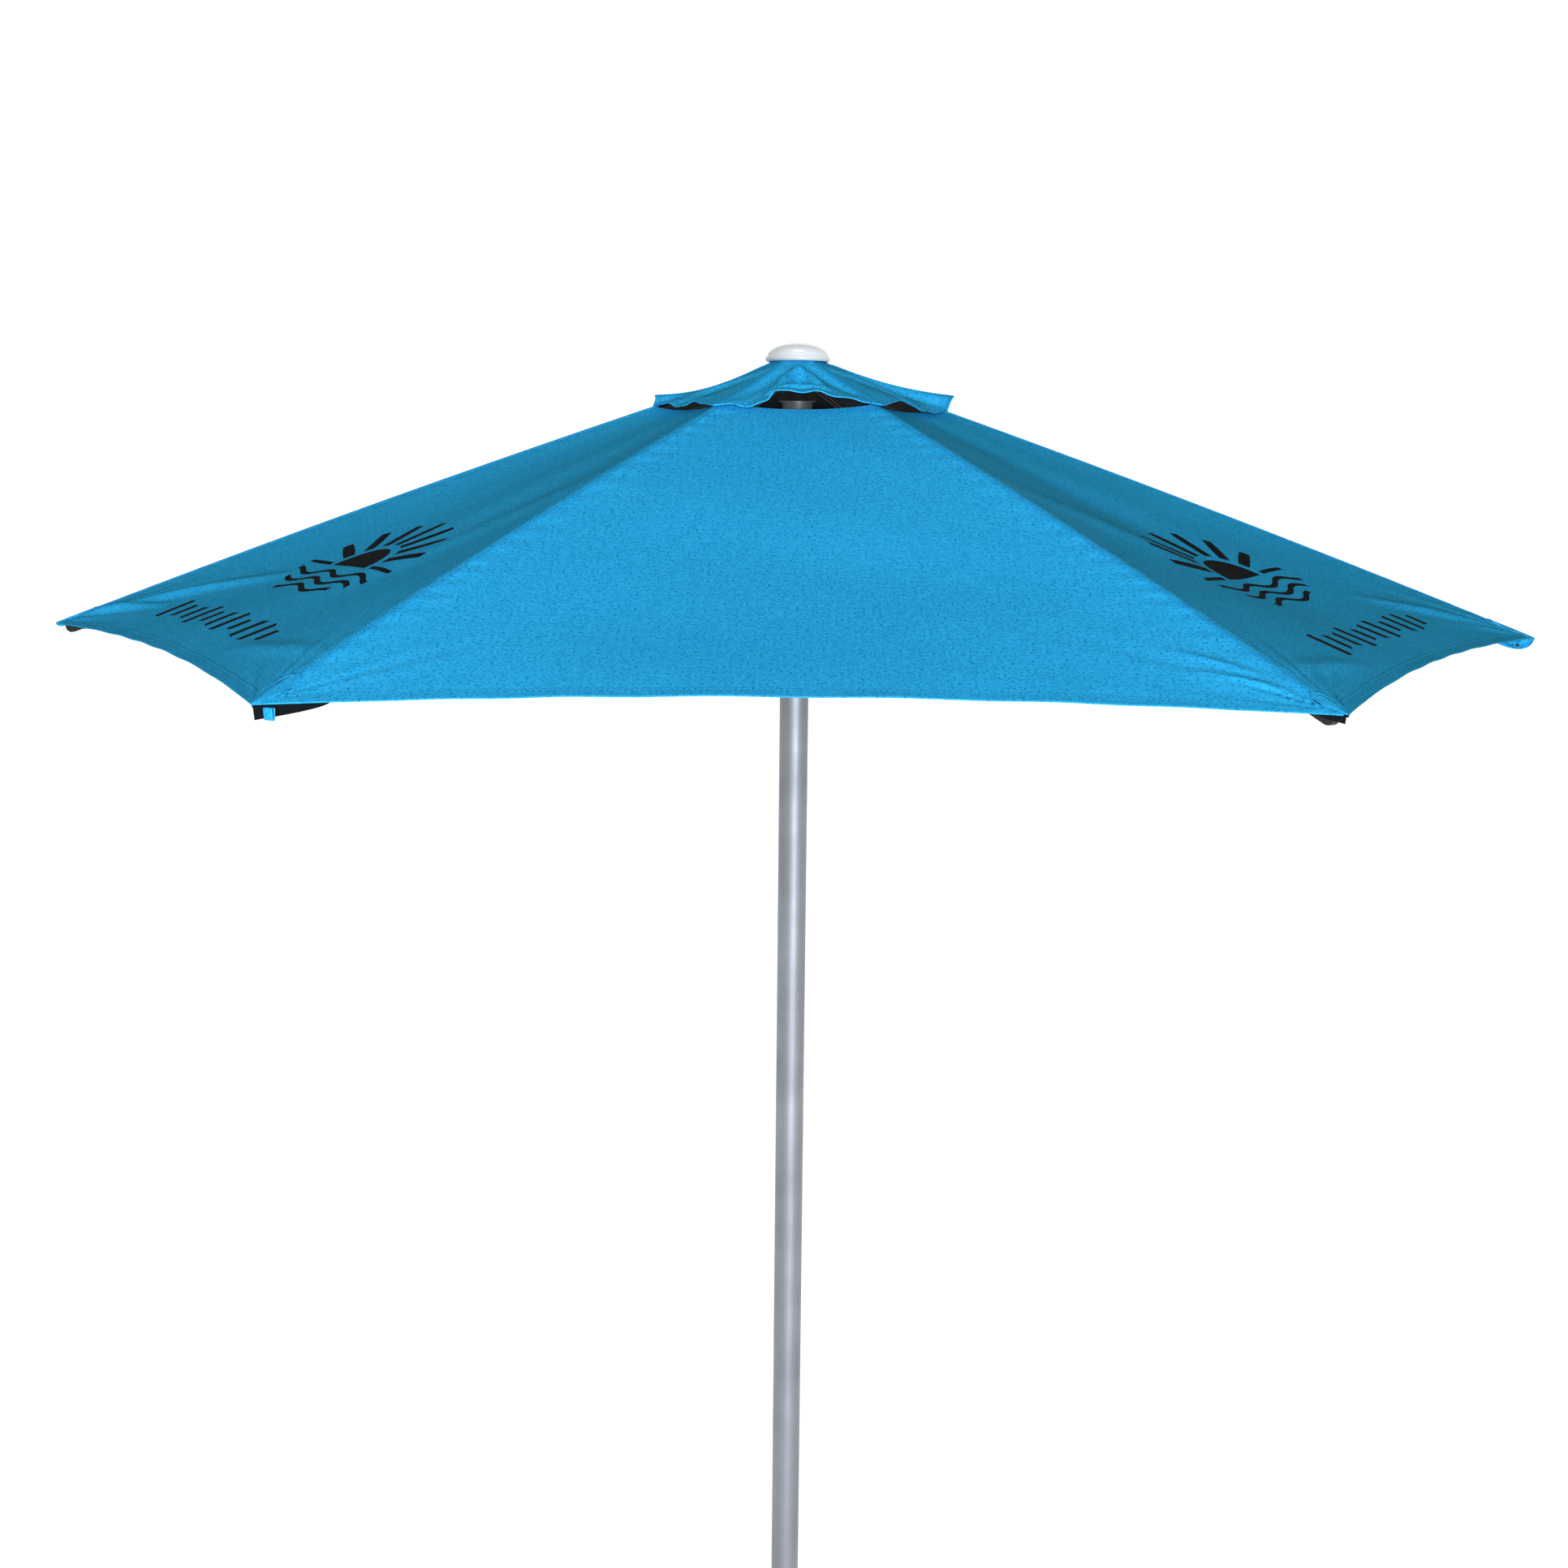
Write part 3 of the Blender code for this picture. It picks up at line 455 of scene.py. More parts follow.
@dataclass(frozen=True)
class Shade:
    """Sizes of the spread shade in metres, and the line on which the cloth lies over each rib."""

    pivot_radius: float = 0.034
    pivot_height: float = 2.2257
    rib_length: float = 0.968
    rib_slope: float = math.radians(19.8)
    rib_bow: float = 0.006
    rib_height: float = 0.016
    clearance: float = 0.0015
    allowance: float = 0.002
    reach: float = 1.000
    hem_curve: float = 0.0264
    hollow: float = 0.016
    vent_slack: float = 0.007
    vent_radius: float = 0.185
    flap_radius: float = 0.205
    flap_hole: float = 0.030
    flap_flat: float = 0.0266
    flap_top: float = 2.2488
    flap_ridge_lift: float = 0.008
    flap_middle_lift: float = 0.021

    def azimuth(self, rib: float) -> float:
        """Returns the angle of a rib round the pole, from the front towards +X."""
        return SECTOR * (rib - 0.5)

    def outward(self, rib: float) -> Vector:
        """Returns the level direction in which a rib points away from the pole."""
        turn = self.azimuth(rib)
        return Vector((math.sin(turn), -math.cos(turn), 0.0))

    def sideways(self, rib: float) -> Vector:
        """Returns the level direction across a rib, towards the next rib."""
        turn = self.azimuth(rib)
        return Vector((math.cos(turn), math.sin(turn), 0.0))

    def ridge(self, station: Array) -> tuple[Array, Array]:
        """Returns radius and height of the cloth's upper face on a rib line.

        Args:
            station: Distances along the rib from its hinge.
        """
        share = station / self.rib_length
        over = 4.0 * self.rib_bow * share * (1.0 - share) + self.rib_height / 2.0 + self.clearance
        radius = self.pivot_radius + station * math.cos(self.rib_slope) + over * math.sin(self.rib_slope)
        height = self.pivot_height - station * math.sin(self.rib_slope) + over * math.cos(self.rib_slope)
        return radius, height + self.allowance

    def station_at(self, radius: Array) -> Array:
        """Returns the station at which the cloth on a rib line has a given radius."""
        station = np.asarray(radius, float)
        for _ in range(20):
            station = station + radius - self.ridge(station)[0]
        return station

    def between(self, gore: int, radius: Array, height: Array, share: Array) -> Array:
        """Returns points on straight chords from a gore's first rib to its second.

        Args:
            gore: Number of the gore, which is that of its first rib.
            radius: Radii of the chord's ends.
            height: Heights of the chord.
            share: How far across the gore, from 0 to 1.
        """
        first, second = self.azimuth(gore), self.azimuth(gore + 1)
        x = radius * ((1.0 - share) * math.sin(first) + share * math.sin(second))
        y = -radius * ((1.0 - share) * math.cos(first) + share * math.cos(second))
        return np.stack([x, y, height + 0.0 * share], axis=-1)


SHADE = Shade()


def slack_of(share: Array) -> Array:
    """Returns how slack the cloth is across a gore, 0 on its ribs and 1 midway."""
    edge = 2.0 * np.minimum(share, 1.0 - share)
    return 1.0 - (1.0 - edge) ** 2


def step(low: float, high: float, value: Array) -> Array:
    """Returns a smooth step from 0 at low to 1 at high."""
    t = np.clip((value - low) / (high - low), 0.0, 1.0)
    return t * t * (3.0 - 2.0 * t)


class Surface:
    """A patch of cloth, as points over its two shares: across and down."""

    def points(self, across: Array, down: Array) -> Array:
        """Returns the patch's points."""
        raise NotImplementedError

    def cloth_uv(self, across: Array, down: Array) -> Array:
        """Returns the flat cloth coordinates in metres."""
        raise NotImplementedError

    def normals(self, across: Array, down: Array) -> Array:
        """Returns the upward unit normals of the patch."""
        e = 0.0015
        low, high = np.clip(across - e, 0.0, 1.0), np.clip(across + e, 0.0, 1.0)
        first = self.points(high, down) - self.points(low, down)
        second = self.points(across, down + e) - self.points(across, down - e)
        normal = np.cross(first, second)
        normal /= np.maximum(np.linalg.norm(normal, axis=-1, keepdims=True), 1e-12)
        return np.where(normal[..., 2:3] < 0.0, -normal, normal)


def peak(value: Array) -> Array:
    """Returns a swell that is 0 at 0, 1 at 1, and dies away past it."""
    return value * np.exp(1.0 - value)


@dataclass
class Crease:
    """A soft fold in the cloth: a raised or sunk line between two places on it.

    On a gore the places are shares across and down it. On the cap they are a share across and a radius.
    """

    start: tuple[float, float]
    end: tuple[float, float]
    height: float
    width: float

    def lift(self, x: Array, y: Array, ends: Sequence[tuple[float, float]],
             fade: tuple[float, float]) -> Array:
        """Returns how far the fold lifts the cloth.

        Args:
            x: Metres across from the gore's middle.
            y: Metres down the gore.
            ends: The fold's two ends, in the same terms.
            fade: Where on its swell the fold starts, and how much of the swell it takes.
        """
        (ax, ay), (bx, by) = ends
        dx, dy = bx - ax, by - ay
        t = np.clip(((x - ax) * dx + (y - ay) * dy) / (dx * dx + dy * dy), 0.0, 1.0)
        gap = np.hypot(x - ax - t * dx, y - ay - t * dy)
        return self.height * np.sin(math.pi * (fade[0] + fade[1] * t)) * np.exp(-((gap / self.width) ** 2))


@dataclass(frozen=True)
class Ruffling:
    """How seams, hem and slack ruffle a gore. Sizes in metres."""

    seam_height: float = 0.00035
    seam_reach: float = 0.010
    seam_pitch: float = 0.041
    hem_height: float = 0.0005
    hem_reach: float = 0.030
    hem_pitch: float = 0.130
    drape_height: float = 0.0034
    ripple_height: float = 0.0012
    corner_reach: float = 0.055
    pull_margin: float = 0.020  # the cloth lies on the rib, so pulls fade out this close to it
    crease_margin: float = 0.025
    crease_fade: tuple[float, float] = (0.08, 0.90)
    rim_radius: float = 0.975
    vent_sag: float = 0.12  # share of the gore's length over which the vent's slack dies away


RUFFLING = Ruffling()


class Gore(Surface):
    """One of the six cloth gores between two ribs, from vent to hem, with the folds that its seams pull."""

    def __init__(self, number: int, creases: Sequence[Crease], corner_pull: tuple[float, float]):
        self.number = number
        self.creases = creases
        self.corner_pull = corner_pull
        self.start = float(SHADE.station_at(np.array(SHADE.vent_radius)))
        self.length = SHADE.reach - self.start

    def points(self, across: Array, down: Array) -> Array:
        """Returns the gore's upper face."""
        slack = slack_of(across)
        end = SHADE.reach - SHADE.hem_curve * slack
        radius, height = SHADE.ridge(self.start + down * (end - self.start))
        found = SHADE.between(self.number, radius, height, across)
        hollow = SHADE.hollow * slack * np.sin(math.pi * np.clip(down, 0, 1))
        found[..., 2] += self.folds(across, down, radius) - hollow
        found[..., 2] -= SHADE.vent_slack * slack * np.exp(-np.maximum(down, 0.0) / RUFFLING.vent_sag)
        return found

    def folds(self, across: Array, down: Array, radius: Array) -> Array:
        """Returns the height of puckers, pulls and drape over the plain surface."""
        plan, phase, slack = RUFFLING, 1.9 * self.number, slack_of(across)
        near = np.minimum(across, 1.0 - across) * radius
        x, y = (across - 0.5) * radius, down * self.length
        below = (1.0 - down) * self.length
        wander = 2.6 * np.sin(11.0 * down + phase)
        pucker = plan.seam_height * peak(near / plan.seam_reach)
        pucker = pucker * np.sin(2 * math.pi * y / plan.seam_pitch + wander)
        wander = 1.4 * np.sin(8.0 * across + phase)
        hem = plan.hem_height * np.exp(-np.maximum(below, 0) / plan.hem_reach) * slack
        hem = hem * np.sin(2 * math.pi * across * radius / plan.hem_pitch + wander)
        hang = slack * np.sin(math.pi * np.clip(down, 0, 1)) ** 0.7
        drape = np.sin(6.1 * across + 4.3 * down + phase) * np.sin(3.9 * down - 5.2 * across + 2.3 * phase)
        ripple = np.sin(13.0 * across - 9.0 * down + phase) * np.sin(11.0 * down + 7.0 * across)
        lifted = pucker + hem + hang * (plan.drape_height * drape + plan.ripple_height * ripple)
        for pull, side in zip(self.corner_pull, (across, 1.0 - across)):
            reach = np.hypot(side * radius, below) + 1e-6
            angle = np.arctan2(np.maximum(below, 0.0), side * radius + 1e-6)
            fan = np.sin(15.0 * angle + phase) + 0.5 * np.sin(24.0 * angle + 2.0 * phase)
            fan = fan * np.sin(2.0 * angle) * step(0.0, plan.pull_margin, near)
            lifted += pull * peak(reach / plan.corner_reach) * fan
        for crease in self.creases:
            ends = [self._place(end) for end in (crease.start, crease.end)]
            fold = crease.lift(x, y, ends, plan.crease_fade)
            lifted += fold * step(0.0, plan.crease_margin, near)
        return lifted

    def rib_radius(self, down: Array) -> Array:
        """Returns the radius of the gore's ends on its rib lines."""
        return SHADE.ridge(self.start + down * self.length)[0]

    def _place(self, end: tuple[float, float]) -> tuple[float, float]:
        """Returns metres across from the middle and down, of shares across and down."""
        across, down = end
        span = SHADE.vent_radius + down * (RUFFLING.rim_radius - SHADE.vent_radius)
        return (across - 0.5) * span, down * self.length

    def cloth_uv(self, across: Array, down: Array) -> Array:
        """Returns metres across from the gore's middle, and down it from the vent."""
        return np.stack([(across - 0.5) * self.rib_radius(down), down * self.length], axis=-1)


@dataclass(frozen=True)
class CapCorner:
    """How the cap lies where it meets a rib, in metres."""

    lift: float = 0.0  # how far the corner curls up
    push: float = 0.0  # how far it reaches out past its cut
    dip: float = 0.003  # how far the ridge sags on its way there


@dataclass(frozen=True)
class HemLift:
    """How the cap's edge stands off the gore below it, in metres."""

    rises: tuple[tuple[float, float, float, float], ...]  # share across, height, half width, push out
    gap: tuple[float, float, float, float] = (0.0, 1.0, 0.0, 0.0)  # from and to share, height at each end
    ripple: float = 0.0012


class CapGore(Surface):
    """One of the six gores of the vent cap, from under the crown to its lifted hem."""

    crease_fade = (0.15, 0.70)
    crease_margin = 0.012
    corner_share = 0.15  # share across the gore to which a corner's curl reaches

    def __init__(self, number: int, corners: tuple[CapCorner, CapCorner], hem: HemLift,
                 creases: Sequence[Crease]):
        self.number = number
        self.corners = corners
        self.hem = hem
        self.creases = creases
        self.length = SHADE.flap_radius - SHADE.flap_hole

    def radius(self, down: Array) -> Array:
        """Returns the radius on the cap's rib lines."""
        return SHADE.flap_hole + down * self.length

    def points(self, across: Array, down: Array) -> Array:
        """Returns the cap's upper face."""
        radius = self.radius(down)
        corner = SHADE.ridge(SHADE.station_at(np.array(SHADE.flap_radius)))[1] + SHADE.flap_ridge_lift
        rise = np.maximum((radius - SHADE.flap_flat) / (SHADE.flap_radius - SHADE.flap_flat), 0.0)
        edge = rise ** 2.2
        window = np.clip(np.sin(math.pi * np.clip(across, 0, 1)), 0, 1) ** 0.5
        lift = (SHADE.flap_middle_lift - SHADE.flap_ridge_lift) * 0.35 * slack_of(across) * rise
        push = 0.0 * across
        for curl, side in zip(self.corners, (across, 1.0 - across)):
            near = np.exp(-((side / self.corner_share) ** 2))
            sag = curl.dip * np.sin(math.pi * np.clip(rise, 0, 1)) * (1.0 - side)
            lift = lift + edge * curl.lift * near - sag
            push = push + edge * curl.push * near
        for place, height, half_width, outward in self.hem.rises:
            near = np.exp(-(((across - place) / half_width) ** 2)) * window * edge
            lift = lift + height * near
            push = push + outward * near
        start, end, high, low = self.hem.gap
        opened = step(start - 0.03, start + 0.03, across) * (1.0 - step(end - 0.10, end, across))
        lift = lift + edge * opened * (high + (low - high) * (across - start) / (end - start))
        phase = 2.3 * self.number
        ripple = np.sin(21.0 * across + phase) + 0.7 * np.sin(37.0 * across + 2.1 * phase)
        lift = lift + self.hem.ripple * edge ** 1.5 * ripple * window
        flat = step(0.0, self.crease_margin, np.minimum(across, 1.0 - across) * radius)
        for crease in self.creases:
            ends = [((share - 0.5) * reach, reach) for share, reach in (crease.start, crease.end)]
            lift = lift + crease.lift((across - 0.5) * radius, radius, ends, self.crease_fade) * flat
        height = SHADE.flap_top + rise * (corner - SHADE.flap_top)
        found = SHADE.between(self.number, radius + push, height, across)
        found[..., 2] += lift
        return found

    def cloth_uv(self, across: Array, down: Array) -> Array:
        """Returns metres across from the cap gore's middle, and down it."""
        radius = self.radius(down)
        return np.stack([(across - 0.5) * radius + 0.7, down * self.length + 0.3], axis=-1)


class RidgeStrip(Surface):
    """The strip of cloth along a rib line that two neighbouring gores share."""

    def __init__(self, before: Surface, after: Surface, half_width: float, width_at: Callable[[Array], Array],
                 fell: float = 0.0):
        self.before = before
        self.after = after
        self.half_width = half_width
        self.width_at = width_at
        self.fell = fell

    def points(self, across: Array, down: Array) -> Array:
        """Returns points of the gore after the rib on one side and of the gore before it on the other."""
        offset = (2.0 * across - 1.0) * self.half_width / self.width_at(down)
        after = self.after.points(np.clip(offset, 0.0, 1.0), down)
        before = self.before.points(np.clip(1.0 + offset, 0.0, 1.0), down)
        found = np.where((offset >= 0.0)[..., None], after, before)
        edge = step(0.30, 0.85, np.abs(2.0 * across - 1.0)) * (1.0 - step(0.90, 1.0, across))
        found[..., 2] += self.fell * edge
        return found

    def cloth_uv(self, across: Array, down: Array) -> Array:
        """Returns metres across from the rib line and down it."""
        return np.stack([(across - 0.5) * 2.0 * self.half_width, down * 0.85], axis=-1)


# ---------------------------------------------------------------- sewing


@dataclass(frozen=True)
class Pleat:
    """Which rib one half of a gore rides as the umbrella closes."""

    rib: int
    side: Side
    tilt: float = math.radians(26.6)
    keep: float = 0.14

    def fold(self, piece: bpy.types.Object) -> None:
        """Makes a piece ride its rib, with a mesh of its own."""
        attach(piece, f"rib_{self.rib}_group")
        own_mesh(piece)


def lit_group(name: str) -> bpy.types.Collection:
    """Returns the group of pieces that one light falls on, made when it is first asked for."""
    return bpy.data.collections.get(name) or bpy.data.collections.new(name)


def finished(name: str, bm: bmesh.types.BMesh, finishes: Sequence[Finish], slot: str) -> bpy.types.Object:
    """Makes an object of a bmesh, gives it its finishes and its lights, and frees the bmesh.

    Args:
        name: Piece name.
        bm: The mesh, in place.
        finishes: Its finishes, in slot order.
        slot: Material slot of the record.

    Returns:
        The linked object.
    """
    mesh = bpy.data.meshes.new(name)
    bm.to_mesh(mesh)
    bm.free()
    piece = bpy.data.objects.new(name, mesh)
    bpy.context.scene.collection.objects.link(piece)
    for finish in finishes:
        mesh.materials.append(finish.material())
    group = "cloth_pieces" if slot == CLOTH_SLOT else "frame_pieces"
    if name.startswith(UNLIT):
        group = "crown_pieces"
    lit_group(group).objects.link(piece)
    return piece


def spun(section: Sequence[tuple[float, float]], steps: int, merge: float) -> bmesh.types.BMesh:
    """Returns a smooth body spun round the pole's axis.

    Args:
        section: Radii and heights of its outline, in order.
        steps: Faces round the body.
        merge: Distance at which the points on the axis become one.
    """
    bm = bmesh.new()
    verts = [bm.verts.new((radius, 0.0, height)) for radius, height in section]
    edges = [bm.edges.new(pair) for pair in zip(verts, verts[1:])]
    bmesh.ops.spin(bm, geom=verts + edges, cent=(0, 0, 0), axis=(0, 0, 1), dvec=(0, 0, 0),
                   angle=2.0 * math.pi, steps=steps, use_merge=True)
    bmesh.ops.remove_doubles(bm, verts=bm.verts[:], dist=merge)
    bmesh.ops.recalc_face_normals(bm, faces=bm.faces[:])
    for face in bm.faces:
        face.smooth = True
    return bm


@dataclass
class Cloth:
    """A sewn sheet: a stretch of a surface, with its thickness, grid and finishes. Sizes in metres."""

    name: str
    surface: Surface
    across: tuple[float, float]
    down: tuple[float, float]
    grid: tuple[int, int]
    finishes: tuple[Finish, Finish]
    thickness: float = 0.0006
    lift: float = 0.0
    crowd: float = 0.0  # how far columns crowd towards the start of across

    def _warp(self, share: Array) -> Array:
        """Returns column places, closer together near the rib."""
        return (1.0 - self.crowd) * share + self.crowd * share * share

    def build(self) -> bpy.types.Object:
        """Returns the sheet as a closed shell with smooth normals that run on into its neighbour's."""
        bm = bmesh.new()
        bmesh.ops.create_grid(bm, x_segments=self.grid[0], y_segments=self.grid[1], size=0.5)
        share_of = bm.verts.layers.float_vector.new("share")
        for vert in bm.verts:
            vert[share_of] = (vert.co.x + 0.5, vert.co.y + 0.5, 0.0)
        lower = list(bm.faces)
        extruded = bmesh.ops.extrude_face_region(bm, geom=lower, use_keep_orig=True)["geom"]
        upper = {item for item in extruded if isinstance(item, bmesh.types.BMVert)}
        tops = [item for item in extruded if isinstance(item, bmesh.types.BMFace)]
        shares = np.array([vert[share_of][:2] for vert in bm.verts])
        on_top = np.array([vert in upper for vert in bm.verts])
        across = self.across[0] + self._warp(shares[:, 0]) * (self.across[1] - self.across[0])
        down = self.down[0] + shares[:, 1] * (self.down[1] - self.down[0])
        normals = self.surface.normals(across, down)
        offset = np.where(on_top, self.lift, self.lift - self.thickness)[:, None]
        places = self.surface.points(across, down) + normals * offset
        flat = self.surface.cloth_uv(across, down)
        for vert, place in zip(bm.verts, places):
            vert.co = place
        bm.verts.index_update()
        uv = bm.loops.layers.uv.new(CLOTH_UV)
        for face in bm.faces:
            face.smooth = True
            face.material_index = Skin.INNER.value
            for loop in face.loops:
                loop[uv].uv = flat[loop.vert.index]
        for face in tops:
            face.material_index = Skin.OUTER.value
        walls = [face for face in bm.faces if {on_top[v.index] for v in face.verts} == {True, False}]
        for face in walls:
            face.material_index = Skin.OUTER.value
        bmesh.ops.recalc_face_normals(bm, faces=bm.faces[:])
        if sum(face.normal.z for face in tops) < 0.0:
            bmesh.ops.reverse_faces(bm, faces=bm.faces[:])
        bm.faces.index_update()
        wall_set = {face.index for face in walls}
        bm.verts.layers.float_vector.remove(share_of)
        piece = finished(self.name, bm, self.finishes, CLOTH_SLOT)
        self._smooth(piece.data, normals, on_top, wall_set)
        return piece

    def _smooth(self, mesh: bpy.types.Mesh, normals: Array, on_top: Array, walls: set[int]) -> None:
        """Gives each face corner the surface's own normal, apart from the cut edges."""
        corners = np.zeros(len(mesh.loops), int)
        mesh.loops.foreach_get("vertex_index", corners)
        signed = np.where(on_top, 1.0, -1.0)[:, None] * normals
        chosen = signed[corners]
        for index in walls:
            polygon = mesh.polygons[index]
            chosen[list(polygon.loop_indices)] = polygon.normal
        mesh.normals_split_custom_set(chosen.tolist())


def lay_stitch(bm: bmesh.types.BMesh, place: Array, normal: Array, ahead: Array,
               size: tuple[float, float, float], lift: float) -> None:
    """Adds one stitch, drawn out along its row.

    Args:
        bm: The mesh that receives it.
        place: Its middle on the cloth.
        normal: The cloth's normal there.
        ahead: A place further along the row.
        size: Half its length, width and height.
        lift: How far its middle stands off the cloth.
    """
    up = Vector(normal)
    run = Vector(ahead) - Vector(place)
    run = (run - up * run.dot(up)).normalized()
    spin = Matrix((run * size[0], up.cross(run) * size[1], up * size[2])).transposed().to_4x4()
    spin.translation = Vector(place) + up * lift
    bmesh.ops.create_icosphere(bm, subdivisions=1, radius=1.0, matrix=spin)


@dataclass
class StitchRow:
    """A row of lockstitches along a line on a surface. Sizes in metres."""

    surface: Surface
    start: tuple[float, float]
    end: tuple[float, float]
    lift: float
    pitch: float = 0.0052
    size: tuple[float, float, float] = (0.0018, 0.00045, 0.0003)

    def _at(self, share: Array) -> tuple[Array, Array]:
        """Returns the surface's shares at shares of the row."""
        return tuple(low + share * (high - low) for low, high in zip(self.start, self.end))

    def sew(self, bm: bmesh.types.BMesh) -> None:
        """Adds the row's stitches to a bmesh, evenly along the cloth."""
        fine = np.linspace(0.0, 1.0, 400)
        line = self.surface.points(*self._at(fine))
        run = np.concatenate([[0.0], np.cumsum(np.linalg.norm(np.diff(line, axis=0), axis=1))])
        count = max(2, int(run[-1] / self.pitch))
        marks = np.interp((np.arange(count) + 0.5) / count * run[-1], run, fine)
        places, normals = self.surface.points(*self._at(marks)), self.surface.normals(*self._at(marks))
        for place, normal, ahead in zip(places, normals, self.surface.points(*self._at(marks + 1e-3))):
            lay_stitch(bm, place, normal, ahead, self.size, self.lift)


def stitches(name: str, rows: Iterable[StitchRow]) -> bpy.types.Object:
    """Returns one object with all the stitches of several rows."""
    bm = bmesh.new()
    for row in rows:
        row.sew(bm)
    for face in bm.faces:
        face.smooth = True
    return finished(name, bm, (THREAD,), CLOTH_SLOT)


@dataclass(frozen=True)
class Hem:
    """How the free edge of a half gore is turned in and sewn down. Sizes in metres."""

    prefix: str
    width: float
    overlap: float  # how far the fold stands past the gore's edge
    inset: float  # from the hem's upper edge to its stitches
    thickness: float
    lift: float
    grid: tuple[int, int]
    crowd: float

    def sew(self, gore: Surface, across: tuple[float, float], rib: int, side: Side) -> list[bpy.types.Object]:
        """Returns the folded hem beside one rib and its row of stitches."""
        top = 1.0 - self.width / gore.length
        line = top + self.inset / gore.length
        place = f"{side.name.lower()}_{rib}"
        band = Cloth(f"{self.prefix}hem_{place}", gore, across, (top, 1.0 + self.overlap / gore.length),
                     self.grid, (SEAM_CLOTH, SEAM_CLOTH), self.thickness, self.lift, self.crowd).build()
        row = StitchRow(gore, (across[0], line), (across[1], line), lift=0.0005)
        thread = stitches(f"{self.prefix}hem_stitches_{place}", [row])
        for piece in (band, thread):
            Pleat(rib, side).fold(piece)
        return [band, thread]


@dataclass(frozen=True)
class FelledSeam:
    """How the seam over a rib is felled, and sewn with two rows. Sizes in metres."""

    band: str
    thread: str
    down: tuple[float, float]  # from and to share of the gore
    rows: tuple[float, float]
    sewn: tuple[float, float]  # from and to share of the gore
    grid: tuple[int, int]
    lift: float

    def sew(self, rib: int, strip: RidgeStrip) -> list[bpy.types.Object]:
        """Returns the seam's band and its stitches."""
        band = Cloth(f"{self.band}_{rib}", strip, (0.0, 1.0), self.down, self.grid, (SEAM_CLOTH, COATED_SIDE),
                     0.0005, self.lift).build()
        start, end = self.sewn
        above = self.lift + 0.0001
        rows = [StitchRow(strip, (share, start), (share, end), above) for share in self.rows]
        thread = stitches(f"{self.thread}_{rib}", rows)
        for piece in (band, thread):
            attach(piece, f"rib_{rib}_group")
        return [band, thread]


GORE_HEM = Hem("", 0.016, 0.0014, 0.0022, 0.0015, 0.00045, (56, 4), 0.62)
CAP_HEM = Hem("cap_", 0.009, 0.0012, 0.0018, 0.0014, 0.0004, (44, 3), 0.3)
GORE_SEAM = FelledSeam("ridge_seam", "ridge_stitches", (0.0, 0.998), (0.17, 0.83), (0.004, 0.93),
                       (10, 150), 0.0007)
CAP_SEAM = FelledSeam("cap_seam", "cap_seam_stitches", (0.09, 0.996), (0.25, 0.75), (0.11, 0.97),
                      (6, 50), 0.0006)


# ---------------------------------------------------------------- sub-assemblies


